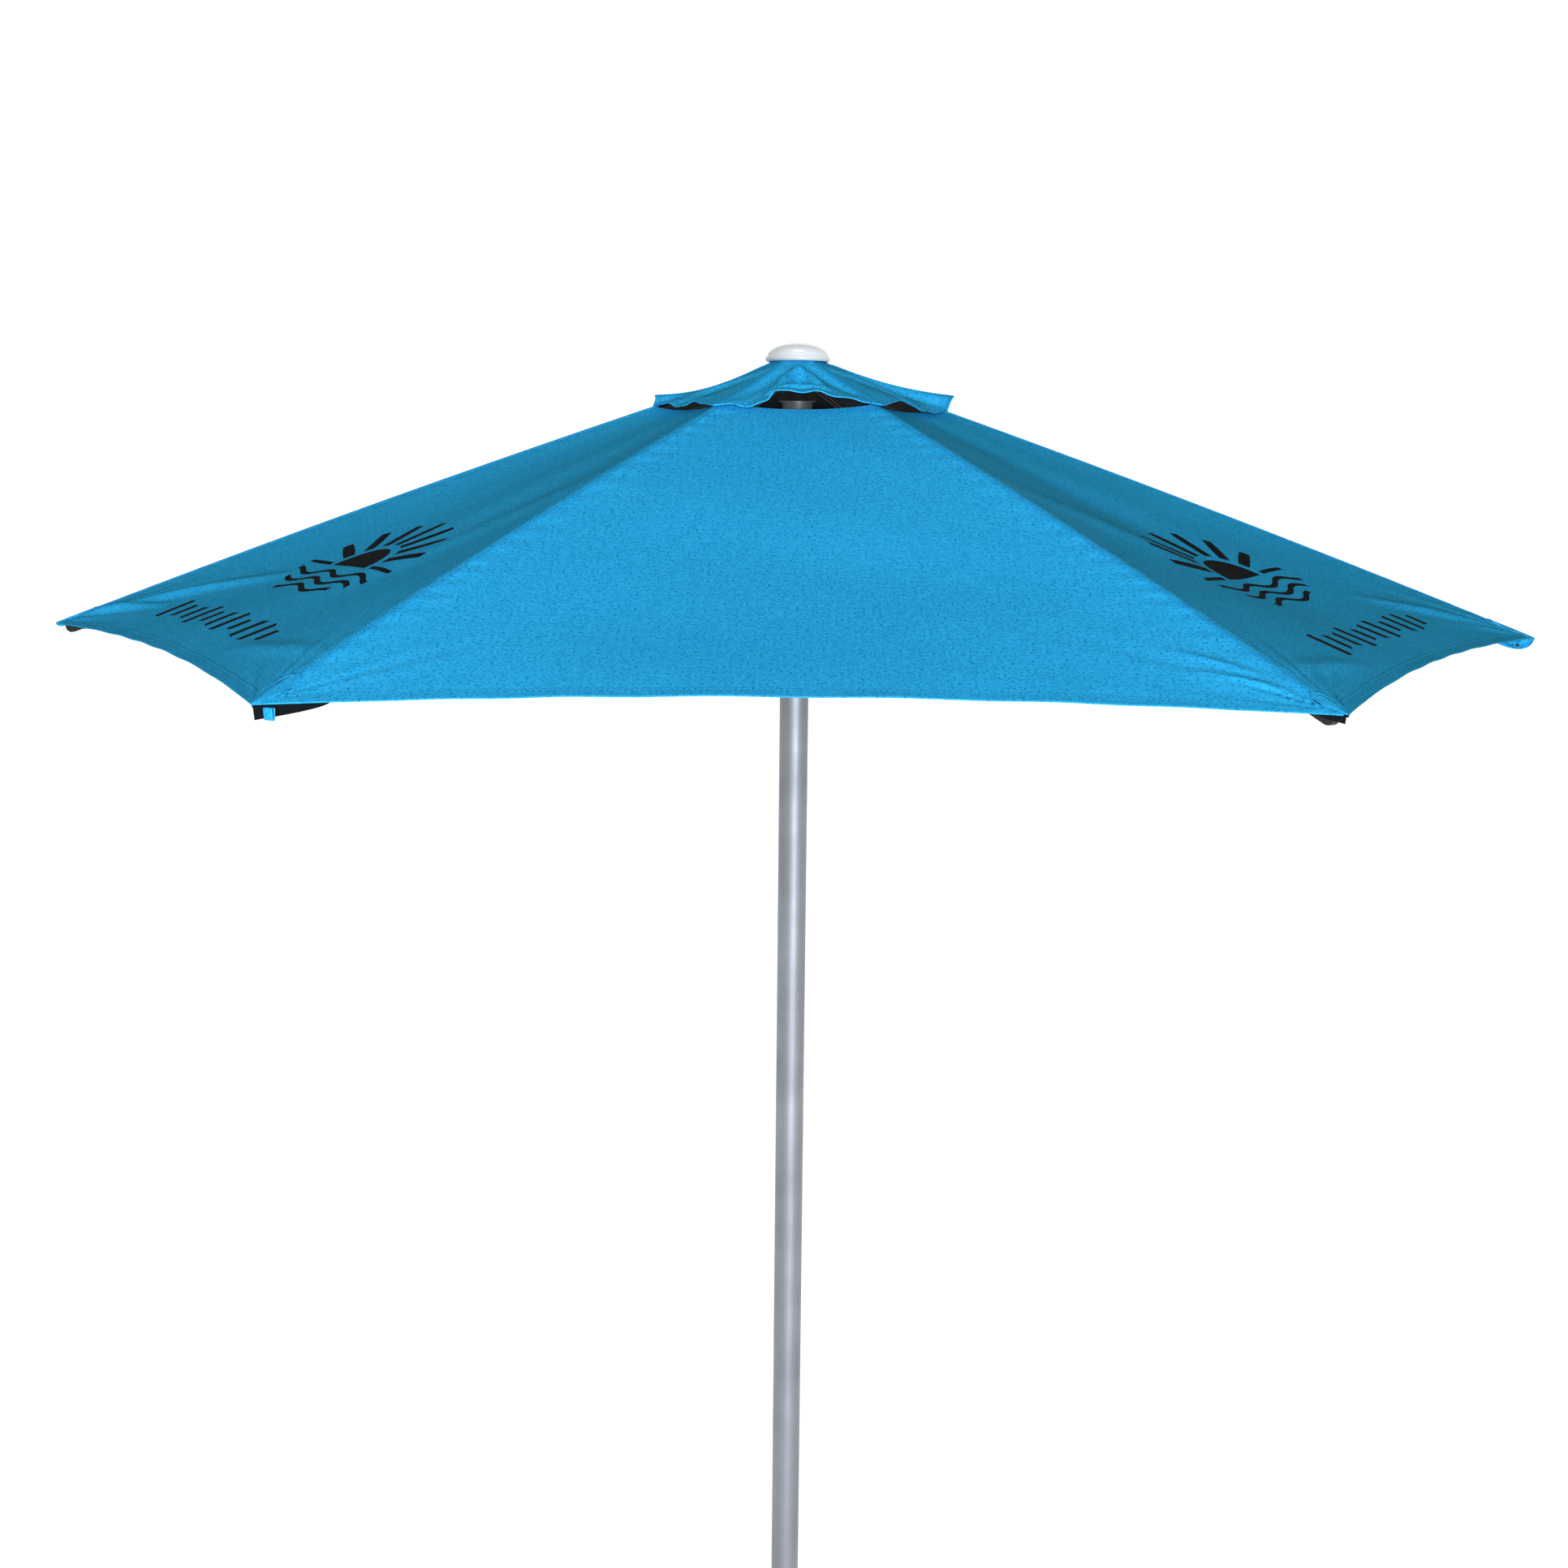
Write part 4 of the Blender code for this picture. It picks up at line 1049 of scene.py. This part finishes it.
@dataclass
class Canopy:
    """The sewn shade: gores in halves, felled seams, hems, and the pockets over the rib tips."""

    half_grid: tuple[int, int] = (56, 150)
    seam_half_width: float = 0.0062
    printed_gores: tuple[int, ...] = (1, 3, 5)
    gores: dict[int, Gore] = field(default_factory=dict)

    def __post_init__(self) -> None:
        """Lays out the folds of each gore."""
        folds = {
            5: [Crease((0.04, 0.97), (0.34, 0.70), 0.0065, 0.016),
                Crease((0.03, 0.96), (0.22, 0.88), 0.0055, 0.011),
                Crease((0.96, 0.88), (0.70, 0.94), 0.0030, 0.018),
                Crease((0.95, 0.30), (0.60, 0.75), 0.0030, 0.040)],
            1: [Crease((0.96, 0.97), (0.72, 0.78), 0.0045, 0.016),
                Crease((0.04, 0.90), (0.26, 0.95), 0.0028, 0.016),
                Crease((0.05, 0.30), (0.45, 0.70), 0.0030, 0.040)],
            6: [Crease((0.975, 0.95), (0.90, 0.90), 0.0028, 0.007),
                Crease((0.970, 0.91), (0.91, 0.85), 0.0022, 0.007)],
        }
        plain = [Crease((0.04, 0.95), (0.36, 0.70), 0.005, 0.024)]
        for number in range(1, RIBS + 1):
            pull = (0.0003, 0.0005) if number == RIBS else (0.0011, 0.0011)
            self.gores[number] = Gore(number, folds.get(number, plain), pull)

    def gore_before(self, rib: int) -> Gore:
        """Returns the gore that ends at a rib."""
        return self.gores[RIBS if rib == 1 else rib - 1]

    def build(self) -> None:
        """Sews every gore, seam, hem and pocket."""
        for rib in range(1, RIBS + 1):
            halves = [(self.half(rib, side), side) for side in Side]
            shared = self.seam(rib) + self.pocket(rib)
            for piece, side in halves:
                extra = GORE_HEM.sew(*self.span(rib, side), rib, side)
                if side is Side.RIGHT:
                    extra += shared
                if (rib, side) in FACINGS:
                    extra.append(self.facing(rib, side))
            LOG.info("gores, seam, hems and pocket at rib %d", rib)
        CornerTab(rib=6).build()

    def span(self, rib: int, side: Side) -> tuple[Gore, tuple[float, float]]:
        """Returns the gore on one side of a rib, and the shares from the rib to the gore's middle."""
        if side is Side.RIGHT:
            return self.gores[rib], (0.0, 0.5)
        return self.gore_before(rib), (1.0, 0.5)

    def half(self, rib: int, side: Side) -> bpy.types.Object:
        """Returns the half gore on one side of a rib."""
        gore, across = self.span(rib, side)
        outer = PRINTED_CLOTH if gore.number in self.printed_gores else BLUE_CLOTH
        place = f"{side.name.lower()}_{rib}"
        piece = Cloth(f"gore_{place}", gore, across, (0.0, 1.0), self.half_grid, (outer, COATED_SIDE),
                      crowd=0.62).build()
        Pleat(rib, side).fold(piece)
        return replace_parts(piece, f"canopy_{place}")

    def seam(self, rib: int) -> list[bpy.types.Object]:
        """Returns the felled seam over a rib and its stitches."""
        after = self.gores[rib]
        return GORE_SEAM.sew(rib, RidgeStrip(self.gore_before(rib), after, self.seam_half_width,
                                             after.rib_radius, fell=0.0006))

    def pocket(self, rib: int) -> list[bpy.types.Object]:
        """Returns the pocket that holds a rib's tip, and the stitches round it."""
        return TipPocket(rib, self.gore_before(rib), self.gores[rib], TIP_CUTS.get(rib, TipCut())).build()

    def facing(self, rib: int, side: Side) -> bpy.types.Object:
        """Returns the strip of the coated side that shows below the hem beside a rib."""
        strip = CornerFacing(self.span(rib, side)[0], side, *FACINGS[(rib, side)])
        facing = Cloth(f"corner_facing_{rib}", strip, (0.0, 0.985), (0.0, 1.0), (28, 6),
                       (COATED_SIDE, COATED_SIDE)).build()
        Pleat(rib, side).fold(facing)
        return facing


@dataclass(frozen=True)
class TipCut:
    """How the pocket over one rib's tip is cut. Sizes in metres."""

    length: float = 0.070
    half_width: float = 0.0195
    depth: float = 0.0160
    dark_from: float = -0.45  # share of the depth below which the coated side shows
    overhang: float = 0.0045


FACINGS = {(6, Side.RIGHT): (0.066, 0.0150), (1, Side.LEFT): (0.026, 0.0085)}
TIP_CUTS = {
    1: TipCut(length=0.046, half_width=0.012, depth=0.0040, dark_from=0.0, overhang=0.0030),
    2: TipCut(depth=0.0235, dark_from=-2.0),
    5: TipCut(length=0.062, half_width=0.011, depth=0.0085, dark_from=-2.0, overhang=0.0020),
    6: TipCut(length=0.060, half_width=0.015, depth=0.0110, dark_from=0.0, overhang=0.0015),
}


@dataclass
class TipPocket:
    """A pocket of two cloth layers sewn over the end of a rib."""

    rib: int
    before: Gore
    after: Gore
    cut: TipCut

    def _place(self, along: Array, across: Array) -> tuple[Array, Array]:
        """Returns points and normals of the cloth near the tip.

        Args:
            along: Stations on the rib line.
            across: Distances from the rib line.
        """
        down = (along - self.after.start) / self.after.length
        strip = RidgeStrip(self.before, self.after, self.cut.half_width * 1.3, self.after.rib_radius)
        share = across / (2.0 * strip.half_width) + 0.5
        return strip.points(share, down), strip.normals(share, down)

    def build(self) -> list[bpy.types.Object]:
        """Returns the pocket and its stitches."""
        bm = bmesh.new()
        bmesh.ops.create_uvsphere(bm, u_segments=56, v_segments=28, radius=1.0,
                                  matrix=Matrix.Rotation(math.pi / 2.0, 4, "Y"))
        raw = np.array([v.co[:] for v in bm.verts])
        middle = SHADE.reach + self.cut.overhang - self.cut.length / 2.0
        x, y, z = raw.T
        flatten = np.hypot(x, y)
        square = np.maximum(np.abs(x), np.abs(y)) / np.maximum(flatten, 1e-9)
        swell = 1.0 + 0.10 * (1.0 / np.maximum(square, 0.70) - 1.0)
        along = middle + x * swell * self.cut.length / 2.0
        taper = 1.0 - 0.18 * step(0.0, 1.0, x)
        across = y * swell * self.cut.half_width * taper
        points, normals = self._place(along, across)
        top = 0.0009 + 0.0006 * np.clip(z, 0, 1) ** 0.5
        bottom = -0.0006 - self.cut.depth * np.clip(-z, 0, 1) ** 0.75
        points = points + normals * np.where(z >= 0.0, top, bottom)[:, None]
        uv = bm.loops.layers.uv.new(CLOTH_UV)
        for vert, place in zip(bm.verts, points):
            vert.co = place
        bm.verts.index_update()
        for face in bm.faces:
            face.smooth = True
            below = float(np.mean(z[[v.index for v in face.verts]])) < self.cut.dark_from
            face.material_index = Skin.INNER.value if below else Skin.OUTER.value
            for loop in face.loops:
                loop[uv].uv = (across[loop.vert.index], along[loop.vert.index])
        bm.normal_update()
        if sum(face.normal.z for face in bm.faces if face.material_index == Skin.OUTER.value) < 0.0:
            bmesh.ops.reverse_faces(bm, faces=bm.faces[:])
        piece = finished(f"tip_pocket_{self.rib}", bm, (SEAM_CLOTH, COATED_SIDE), CLOTH_SLOT)
        parts = [piece, self.thread(middle)]
        for part in parts:
            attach(part, f"rib_{self.rib}_group")
        return parts

    def thread(self, middle: float) -> bpy.types.Object:
        """Returns the row of stitches that follows the pocket's rounded inner end."""
        bm = bmesh.new()
        half_length, half_width = self.cut.length / 2.0 - 0.005, self.cut.half_width - 0.0042
        for turn in np.linspace(math.radians(35.0), math.radians(325.0), 34):
            turns = np.array([turn, turn + 0.02])
            places, normals = self._place(middle + np.cos(turns) * half_length, np.sin(turns) * half_width)
            lay_stitch(bm, places[0], normals[0], places[1], (0.0019, 0.0005, 0.0005), 0.0017)
        return finished(f"pocket_stitches_{self.rib}", bm, (THREAD,), CLOTH_SLOT)


class CornerFacing(Surface):
    """A narrow triangle of the coated side that hangs below the hem beside a rib. Sizes in metres."""

    def __init__(self, gore: Gore, side: Side, width: float, height: float):
        self.gore = gore
        self.side = side
        self.width = width
        self.height = height

    def points(self, across: Array, down: Array) -> Array:
        """Returns the facing, which hangs from the hem and leans in below it."""
        share = across * self.width / float(SHADE.ridge(np.array(SHADE.reach))[0])
        found = self.gore.points(share if self.side is Side.RIGHT else 1.0 - share, 1.0 + 0.0 * down)
        drop = 0.0006 + down * self.height * (1.0 - across) ** 0.6
        middle = SHADE.azimuth(self.gore.number + 0.5)
        inward = np.array([-math.sin(middle), math.cos(middle), 0.0])
        found += (0.0008 + 0.35 * drop)[..., None] * inward
        found[..., 2] -= drop
        return found

    def cloth_uv(self, across: Array, down: Array) -> Array:
        """Returns metres along the hem and down from it."""
        return np.stack([across * self.width, down * self.height], axis=-1)


@dataclass
class CornerTab:
    """A short strap end, folded once and sewn under a corner. Sizes in metres."""

    rib: int
    width: float = 0.011
    drop: float = 0.0115
    thickness: float = 0.0010

    def build(self) -> None:
        """Folds the tab and sews it on."""
        bm = bmesh.new()
        bmesh.ops.create_grid(bm, x_segments=6, y_segments=24, size=0.5)
        bmesh.ops.solidify(bm, geom=bm.faces[:], thickness=0.06)
        out, side = SHADE.outward(self.rib), SHADE.sideways(self.rib)
        radius, height = SHADE.ridge(np.array(SHADE.reach - 0.006))
        hang = out * float(radius) + side * 0.015 + Vector((0.0, 0.0, float(height) - 0.0055))
        uv = bm.loops.layers.uv.new(CLOTH_UV)
        for face in bm.faces:
            face.smooth = True
            for loop in face.loops:
                loop[uv].uv = (loop.vert.co.x * self.width, loop.vert.co.y * 2.0 * self.drop)
        for vert in bm.verts:
            turn = (vert.co.y + 0.5) * math.pi
            bulge = 0.0022 + vert.co.z * self.thickness / 0.06
            low = Vector((0.0, 0.0, math.sin(turn) * (self.drop + vert.co.z * self.thickness / 0.06)))
            vert.co = hang + side * (vert.co.x * self.width) + out * (math.cos(turn) * bulge) - low
        bmesh.ops.recalc_face_normals(bm, faces=bm.faces[:])
        piece = finished(f"corner_tab_{self.rib}", bm, (SEAM_CLOTH,), CLOTH_SLOT)
        Pleat(self.rib, Side.RIGHT).fold(piece)


@dataclass
class VentCap:
    """The small cap over the vent: six gores whose free hem stands off the shade and curls at its corners."""

    half_grid: tuple[int, int] = (44, 60)
    slant: float = 1.06  # length of the cap's slope over its reach in plan
    corners: tuple[CapCorner, ...] = (
        CapCorner(-0.0020), CapCorner(0.0160, -0.002, 0.003), CapCorner(-0.0055), CapCorner(-0.0055),
        CapCorner(0.0130, -0.020, 0.009), CapCorner(-0.0040, 0.0, 0.005))

    def gore(self, number: int) -> CapGore:
        """Returns one cap gore with its own hem."""
        hems = {
            1: HemLift(((0.16, 0.004, 0.08, 0.0), (0.58, -0.0115, 0.17, 0.002),
                        (0.80, -0.0090, 0.10, 0.004))),
            2: HemLift(((0.13, -0.0260, 0.10, 0.006), (0.55, -0.0130, 0.35, 0.0))),
            3: HemLift(((0.50, -0.0130, 0.40, 0.0),)),
            4: HemLift(((0.86, -0.0240, 0.10, 0.014), (0.45, -0.0130, 0.35, 0.0))),
            5: HemLift(((0.16, -0.0090, 0.08, 0.0), (0.55, -0.0070, 0.22, 0.0))),
            6: HemLift(((0.22, -0.0080, 0.11, 0.0),), gap=(0.34, 0.92, 0.0125, 0.0020), ripple=0.0016),
        }
        folds = {
            6: [Crease((0.50, 0.072), (0.30, 0.168), 0.0075, 0.007),
                Crease((0.54, 0.072), (0.70, 0.168), 0.0075, 0.007),
                Crease((0.52, 0.105), (0.50, 0.150), -0.0060, 0.011),
                Crease((0.36, 0.174), (0.66, 0.170), 0.0045, 0.006),
                Crease((0.74, 0.070), (0.90, 0.165), -0.0045, 0.009),
                Crease((0.20, 0.080), (0.10, 0.180), -0.0030, 0.008)],
            1: [Crease((0.28, 0.070), (0.60, 0.180), 0.0045, 0.012),
                Crease((0.80, 0.080), (0.86, 0.190), -0.0035, 0.012)],
            5: [Crease((0.75, 0.070), (0.30, 0.175), 0.0045, 0.012),
                Crease((0.30, 0.090), (0.12, 0.190), 0.0035, 0.010)],
        }
        corners = (self.corners[number - 1], self.corners[number % RIBS])
        return CapGore(number, corners, hems[number], folds.get(number, ()))

    def build(self) -> None:
        """Sews the cap's twelve halves with their hems and seams."""
        gores = {number: self.gore(number) for number in range(1, RIBS + 1)}
        for rib in range(1, RIBS + 1):
            before = gores[RIBS if rib == 1 else rib - 1]
            self.rib_part(rib, before, gores[rib])
            LOG.info("vent cap at rib %d", rib)

    def rib_part(self, rib: int, before: CapGore, after: CapGore) -> None:
        """Sews what lies on one rib: two halves, hems, stitches and the ridge seam."""
        strip = RidgeStrip(before, after, 0.005, after.radius)
        seam = CAP_SEAM.sew(rib, strip)
        for gore, side, across in ((after, Side.RIGHT, (0.0, 0.5)), (before, Side.LEFT, (1.0, 0.5))):
            half = Cloth(f"cap_{side.name.lower()}_{rib}", gore, across, (0.0, 1.0), self.half_grid,
                         (BLUE_CLOTH, COATED_SIDE), crowd=0.3).build()
            Pleat(rib, side).fold(half)
            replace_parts(half, f"vent_flap_{rib}")
            extra = CAP_HEM.sew(gore, across, rib, side) + (seam if side is Side.RIGHT else [])


@dataclass
class Finial:
    """The white turned cap on the crown. Sizes in metres."""

    segments: int = 96
    settled: float = 0.0030

    def build(self) -> None:
        """Spins the cap from its section: a low dome over a short upright lip, hollow below."""
        low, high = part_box("finial")
        radius, base, top = high.x, low.z, high.z - self.settled
        hollow = [(1e-5, top - 0.0050), (radius * 0.6, top - 0.0075), (radius - 0.0036, base + 0.005)]
        lip = [(radius - 0.0032, base), (radius - 0.0010, base + 0.0001), (radius, base + 0.0012),
               (radius, base + 0.0050), (radius - 0.0007, base + 0.0062), (radius - 0.0021, base + 0.0068)]
        spring = base + 0.0072
        turns = np.linspace(0.0, math.pi / 2 - 1e-4, 22)
        dome = [((radius - 0.0026) * math.cos(t), spring + (top - spring) * math.sin(t)) for t in turns]
        bm = spun([*hollow, *lip, *dome], self.segments, 2e-5)
        piece = finished("finial_cap", bm, (GLOSS_ABS,), "finial_gloss")
        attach(piece, "root")
        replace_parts(piece, "finial")
        LOG.info("finial cap, radius %.3f m", radius)


@dataclass(frozen=True)
class Dressing:
    """What one kind of frame part is given: a finish, a slot and the easing of its edges in metres."""

    finish: Finish
    slot: str
    easing: float


def nylon(easing: float) -> Dressing:
    """Returns the dressing of a moulded part."""
    return Dressing(BLACK_NYLON, "black_nylon", easing)


def zinc(easing: float) -> Dressing:
    """Returns the dressing of a plated part."""
    return Dressing(ZINC_STEEL, "zinc_steel", easing)


def paint(easing: float) -> Dressing:
    """Returns the dressing of a painted part."""
    return Dressing(POWDER_COAT, "frame_paint", easing)


KINDS = {
    "pole": Dressing(SATIN_TUBE, "satin_aluminium", 0.0005), "pole_foot": nylon(0.0012),
    "top_hub": nylon(0.0006), "hub_ring_wire": zinc(0.0), "finial_screw": zinc(0.0004),
    "crown_washer": nylon(0.0003), "rib": paint(0.0006), "rib_tip": nylon(0.0010),
    "strut_bracket": paint(0.0003), "bracket_pin": zinc(0.0003), "strut": paint(0.0005),
    "runner": nylon(0.0006), "runner_ring_wire": zinc(0.0), "clamp_knob": nylon(0.0010),
    "clamp_screw": zinc(0.0003),
}


@dataclass
class Hardware:
    """The frame's own parts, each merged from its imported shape, eased along its edges and finished."""

    sharp_angle: float = math.radians(34.0)
    flat_angle: float = math.radians(0.4)

    def kind(self, node: str) -> str:
        """Returns a node's name without the number of its rib."""
        head, _, tail = node.rpartition("_")
        return head if tail.isdigit() else node

    def build(self) -> None:
        """Dresses every hard part of the frame."""
        for name, source in sorted(frame["nodes"].items()):
            dressing = KINDS.get(self.kind(name))
            if dressing is not None:
                self.dress(name, source, dressing)
        LOG.info("frame parts dressed")

    def dress(self, name: str, source: bpy.types.Object, dressing: Dressing) -> None:
        """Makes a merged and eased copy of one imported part, which stands for it.

        Args:
            name: The part's node.
            source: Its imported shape.
            dressing: What its kind is given.
        """
        bm = bmesh.new()
        bm.from_mesh(source.data)
        bmesh.ops.remove_doubles(bm, verts=bm.verts[:], dist=2e-6)
        bmesh.ops.dissolve_limit(bm, angle_limit=self.flat_angle, verts=bm.verts[:], edges=bm.edges[:],
                                 delimit={"NORMAL"})
        for face in bm.faces:
            face.smooth = True
            face.material_index = 0
        piece = finished(f"{name}_eased", bm, (dressing.finish,), dressing.slot)
        piece.data.set_sharp_from_angle(angle=self.sharp_angle)
        if dressing.easing > 0.0:
            edge = piece.modifiers.new("eased_edges", "BEVEL")
            edge.width = dressing.easing
            edge.segments = 2
            edge.limit_method = "ANGLE"
            edge.angle_limit = self.sharp_angle
            edge.use_clamp_overlap = True
            edge.harden_normals = True
        bodies = frame["record"]["behaviour"]["bodies"]
        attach(piece, next(body for body, members in bodies.items() if name in members))
        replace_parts(piece, name)


# ---------------------------------------------------------------- studio


@dataclass
class Studio:
    """A pale sweep, soft light and the camera. Sizes in metres."""

    eye: tuple[float, float, float] = (-0.0156, -2.5555, 2.1096)
    pitch: float = -0.1627
    yaw: float = 0.0013
    roll: float = 0.0101
    lens: float = 44.24
    floor: float = 9.0
    bend: float = 4.0
    wall: float = 11.0
    sunk: float = 0.0005  # keeps the floor just clear of the foot

    def build(self) -> None:
        """Sets the sweep, the lights and the camera."""
        self.sweep()
        self.lights()
        self.camera()
        LOG.info("studio set")

    def sweep(self) -> None:
        """Lays a seamless pale floor that turns up into a wall all round."""
        turns = np.linspace(0.0, math.pi / 2.0, 13)
        curve = [(self.floor + self.bend * math.sin(t), self.bend * (1.0 - math.cos(t))) for t in turns]
        section = [(0.0, 0.0), *curve, (self.floor + self.bend, self.wall)]
        bm = spun([(radius, height - self.sunk) for radius, height in section], 96, 1e-4)
        if sum(face.normal.z for face in bm.faces) < 0.0:
            bmesh.ops.reverse_faces(bm, faces=bm.faces[:])
        paper = Finish("pale_backdrop_paper", "#f6f7f8", 0.9).material()
        on = Pattern(paper.node_tree, paper.node_tree.nodes["Principled BSDF"])
        on.bump(on.noise(on.place(), 60.0), 0.05, 0.001)
        mesh = bpy.data.meshes.new("sweep")
        bm.to_mesh(mesh)
        bm.free()
        mesh.materials.append(paper)
        sweep = bpy.data.objects.new("sweep", mesh)
        bpy.context.scene.collection.objects.link(sweep)
        sweep.visible_diffuse = False
        sweep.visible_shadow = False
        lit_group("sweep_only").objects.link(sweep)

    def lights(self) -> None:
        """Hangs soft keys in front and behind, an even sky, and a wash that falls on the sweep only."""
        world = bpy.data.worlds.new("studio_air")
        world.use_nodes = True
        sky = world.node_tree.nodes["Background"]
        sky.inputs["Color"].default_value = to_linear("#fff2bc")
        sky.inputs["Strength"].default_value = 0.22
        bpy.context.scene.world = world
        crown, waist = (0.0, 0.0, 2.05), (0.0, 0.0, 1.6)
        self.area("front_key", (-0.3, -7.5, 2.15), crown, 2.2, 1035.0, "#eef6ff", "cloth_pieces")
        self.area("frame_fill", (1.3, -5.4, 1.2), waist, 1.8, 235.0, "#eef4fc", "frame_pieces")
        self.area("crown_light", (0.0, -1.0, 5.5), (0.0, 0.0, 2.2), 1.5, 62.0, "#e6eeff", "frame_pieces")
        self.area("back_key", (0.4, 7.5, 2.5), crown, 2.2, 720.0, "#eef6ff", "cloth_pieces")
        for number in range(3):
            wash = bpy.data.lights.new(f"sweep_wash_{number + 1}", "SUN")
            wash.energy = 3.5
            wash.color = to_linear("#f8faff")[:3]
            wash.angle = math.radians(30.0)
            lamp = bpy.data.objects.new(wash.name, wash)
            lamp.rotation_euler = (math.radians(72.0), 0.0, number * 2.0 * math.pi / 3.0)
            bpy.context.scene.collection.objects.link(lamp)
            lamp.light_linking.receiver_collection = lit_group("sweep_only")
            lamp.light_linking.blocker_collection = lit_group("sweep_only")

    def area(self, name: str, place: tuple[float, float, float], aim: tuple[float, float, float], size: float,
             power: float, colour: str, group: str) -> None:
        """Hangs one soft box.

        Args:
            name: Its name.
            place: Where it hangs.
            aim: The point that it is turned to.
            size: Its side.
            power: Its power in watts.
            colour: Its hex colour.
            group: The group of pieces that it falls on.
        """
        light = bpy.data.lights.new(name, "AREA")
        light.shape = "SQUARE"
        light.size = size
        light.energy = power
        light.color = to_linear(colour)[:3]
        lamp = bpy.data.objects.new(name, light)
        lamp.location = place
        lamp.rotation_euler = (Vector(aim) - Vector(place)).to_track_quat("-Z", "Y").to_euler()
        lamp.light_linking.receiver_collection = lit_group(group)
        bpy.context.scene.collection.objects.link(lamp)

    def camera(self) -> None:
        """Sets the camera a little below the crown, looking slightly down."""
        ahead = Vector((math.sin(self.yaw) * math.cos(self.pitch), math.cos(self.yaw) * math.cos(self.pitch),
                        math.sin(self.pitch)))
        right = Vector((math.cos(self.yaw), -math.sin(self.yaw), 0.0))
        up = right.cross(ahead)
        tilted = right * math.cos(self.roll) + up * math.sin(self.roll)
        raised = up * math.cos(self.roll) - right * math.sin(self.roll)
        lens = bpy.data.cameras.new("camera")
        lens.lens = self.lens
        lens.sensor_width = 36.0
        lens.clip_start = 0.05
        lens.clip_end = 100.0
        camera = bpy.data.objects.new("camera", lens)
        turn = Matrix((tilted, raised, -ahead)).transposed().to_4x4()
        turn.translation = Vector(self.eye)
        camera.matrix_world = turn
        bpy.context.scene.collection.objects.link(camera)
        bpy.context.scene.camera = camera
        bpy.context.scene.view_settings.view_transform = "Standard"


def main() -> None:
    """Builds the umbrella's looks in order, from the frame outwards."""
    logging.basicConfig(level=logging.INFO, format="%(message)s")
    Hardware().build()
    Finial().build()
    Canopy().build()
    VentCap().build()
    Studio().build()


if __name__ == "__main__":
    main()
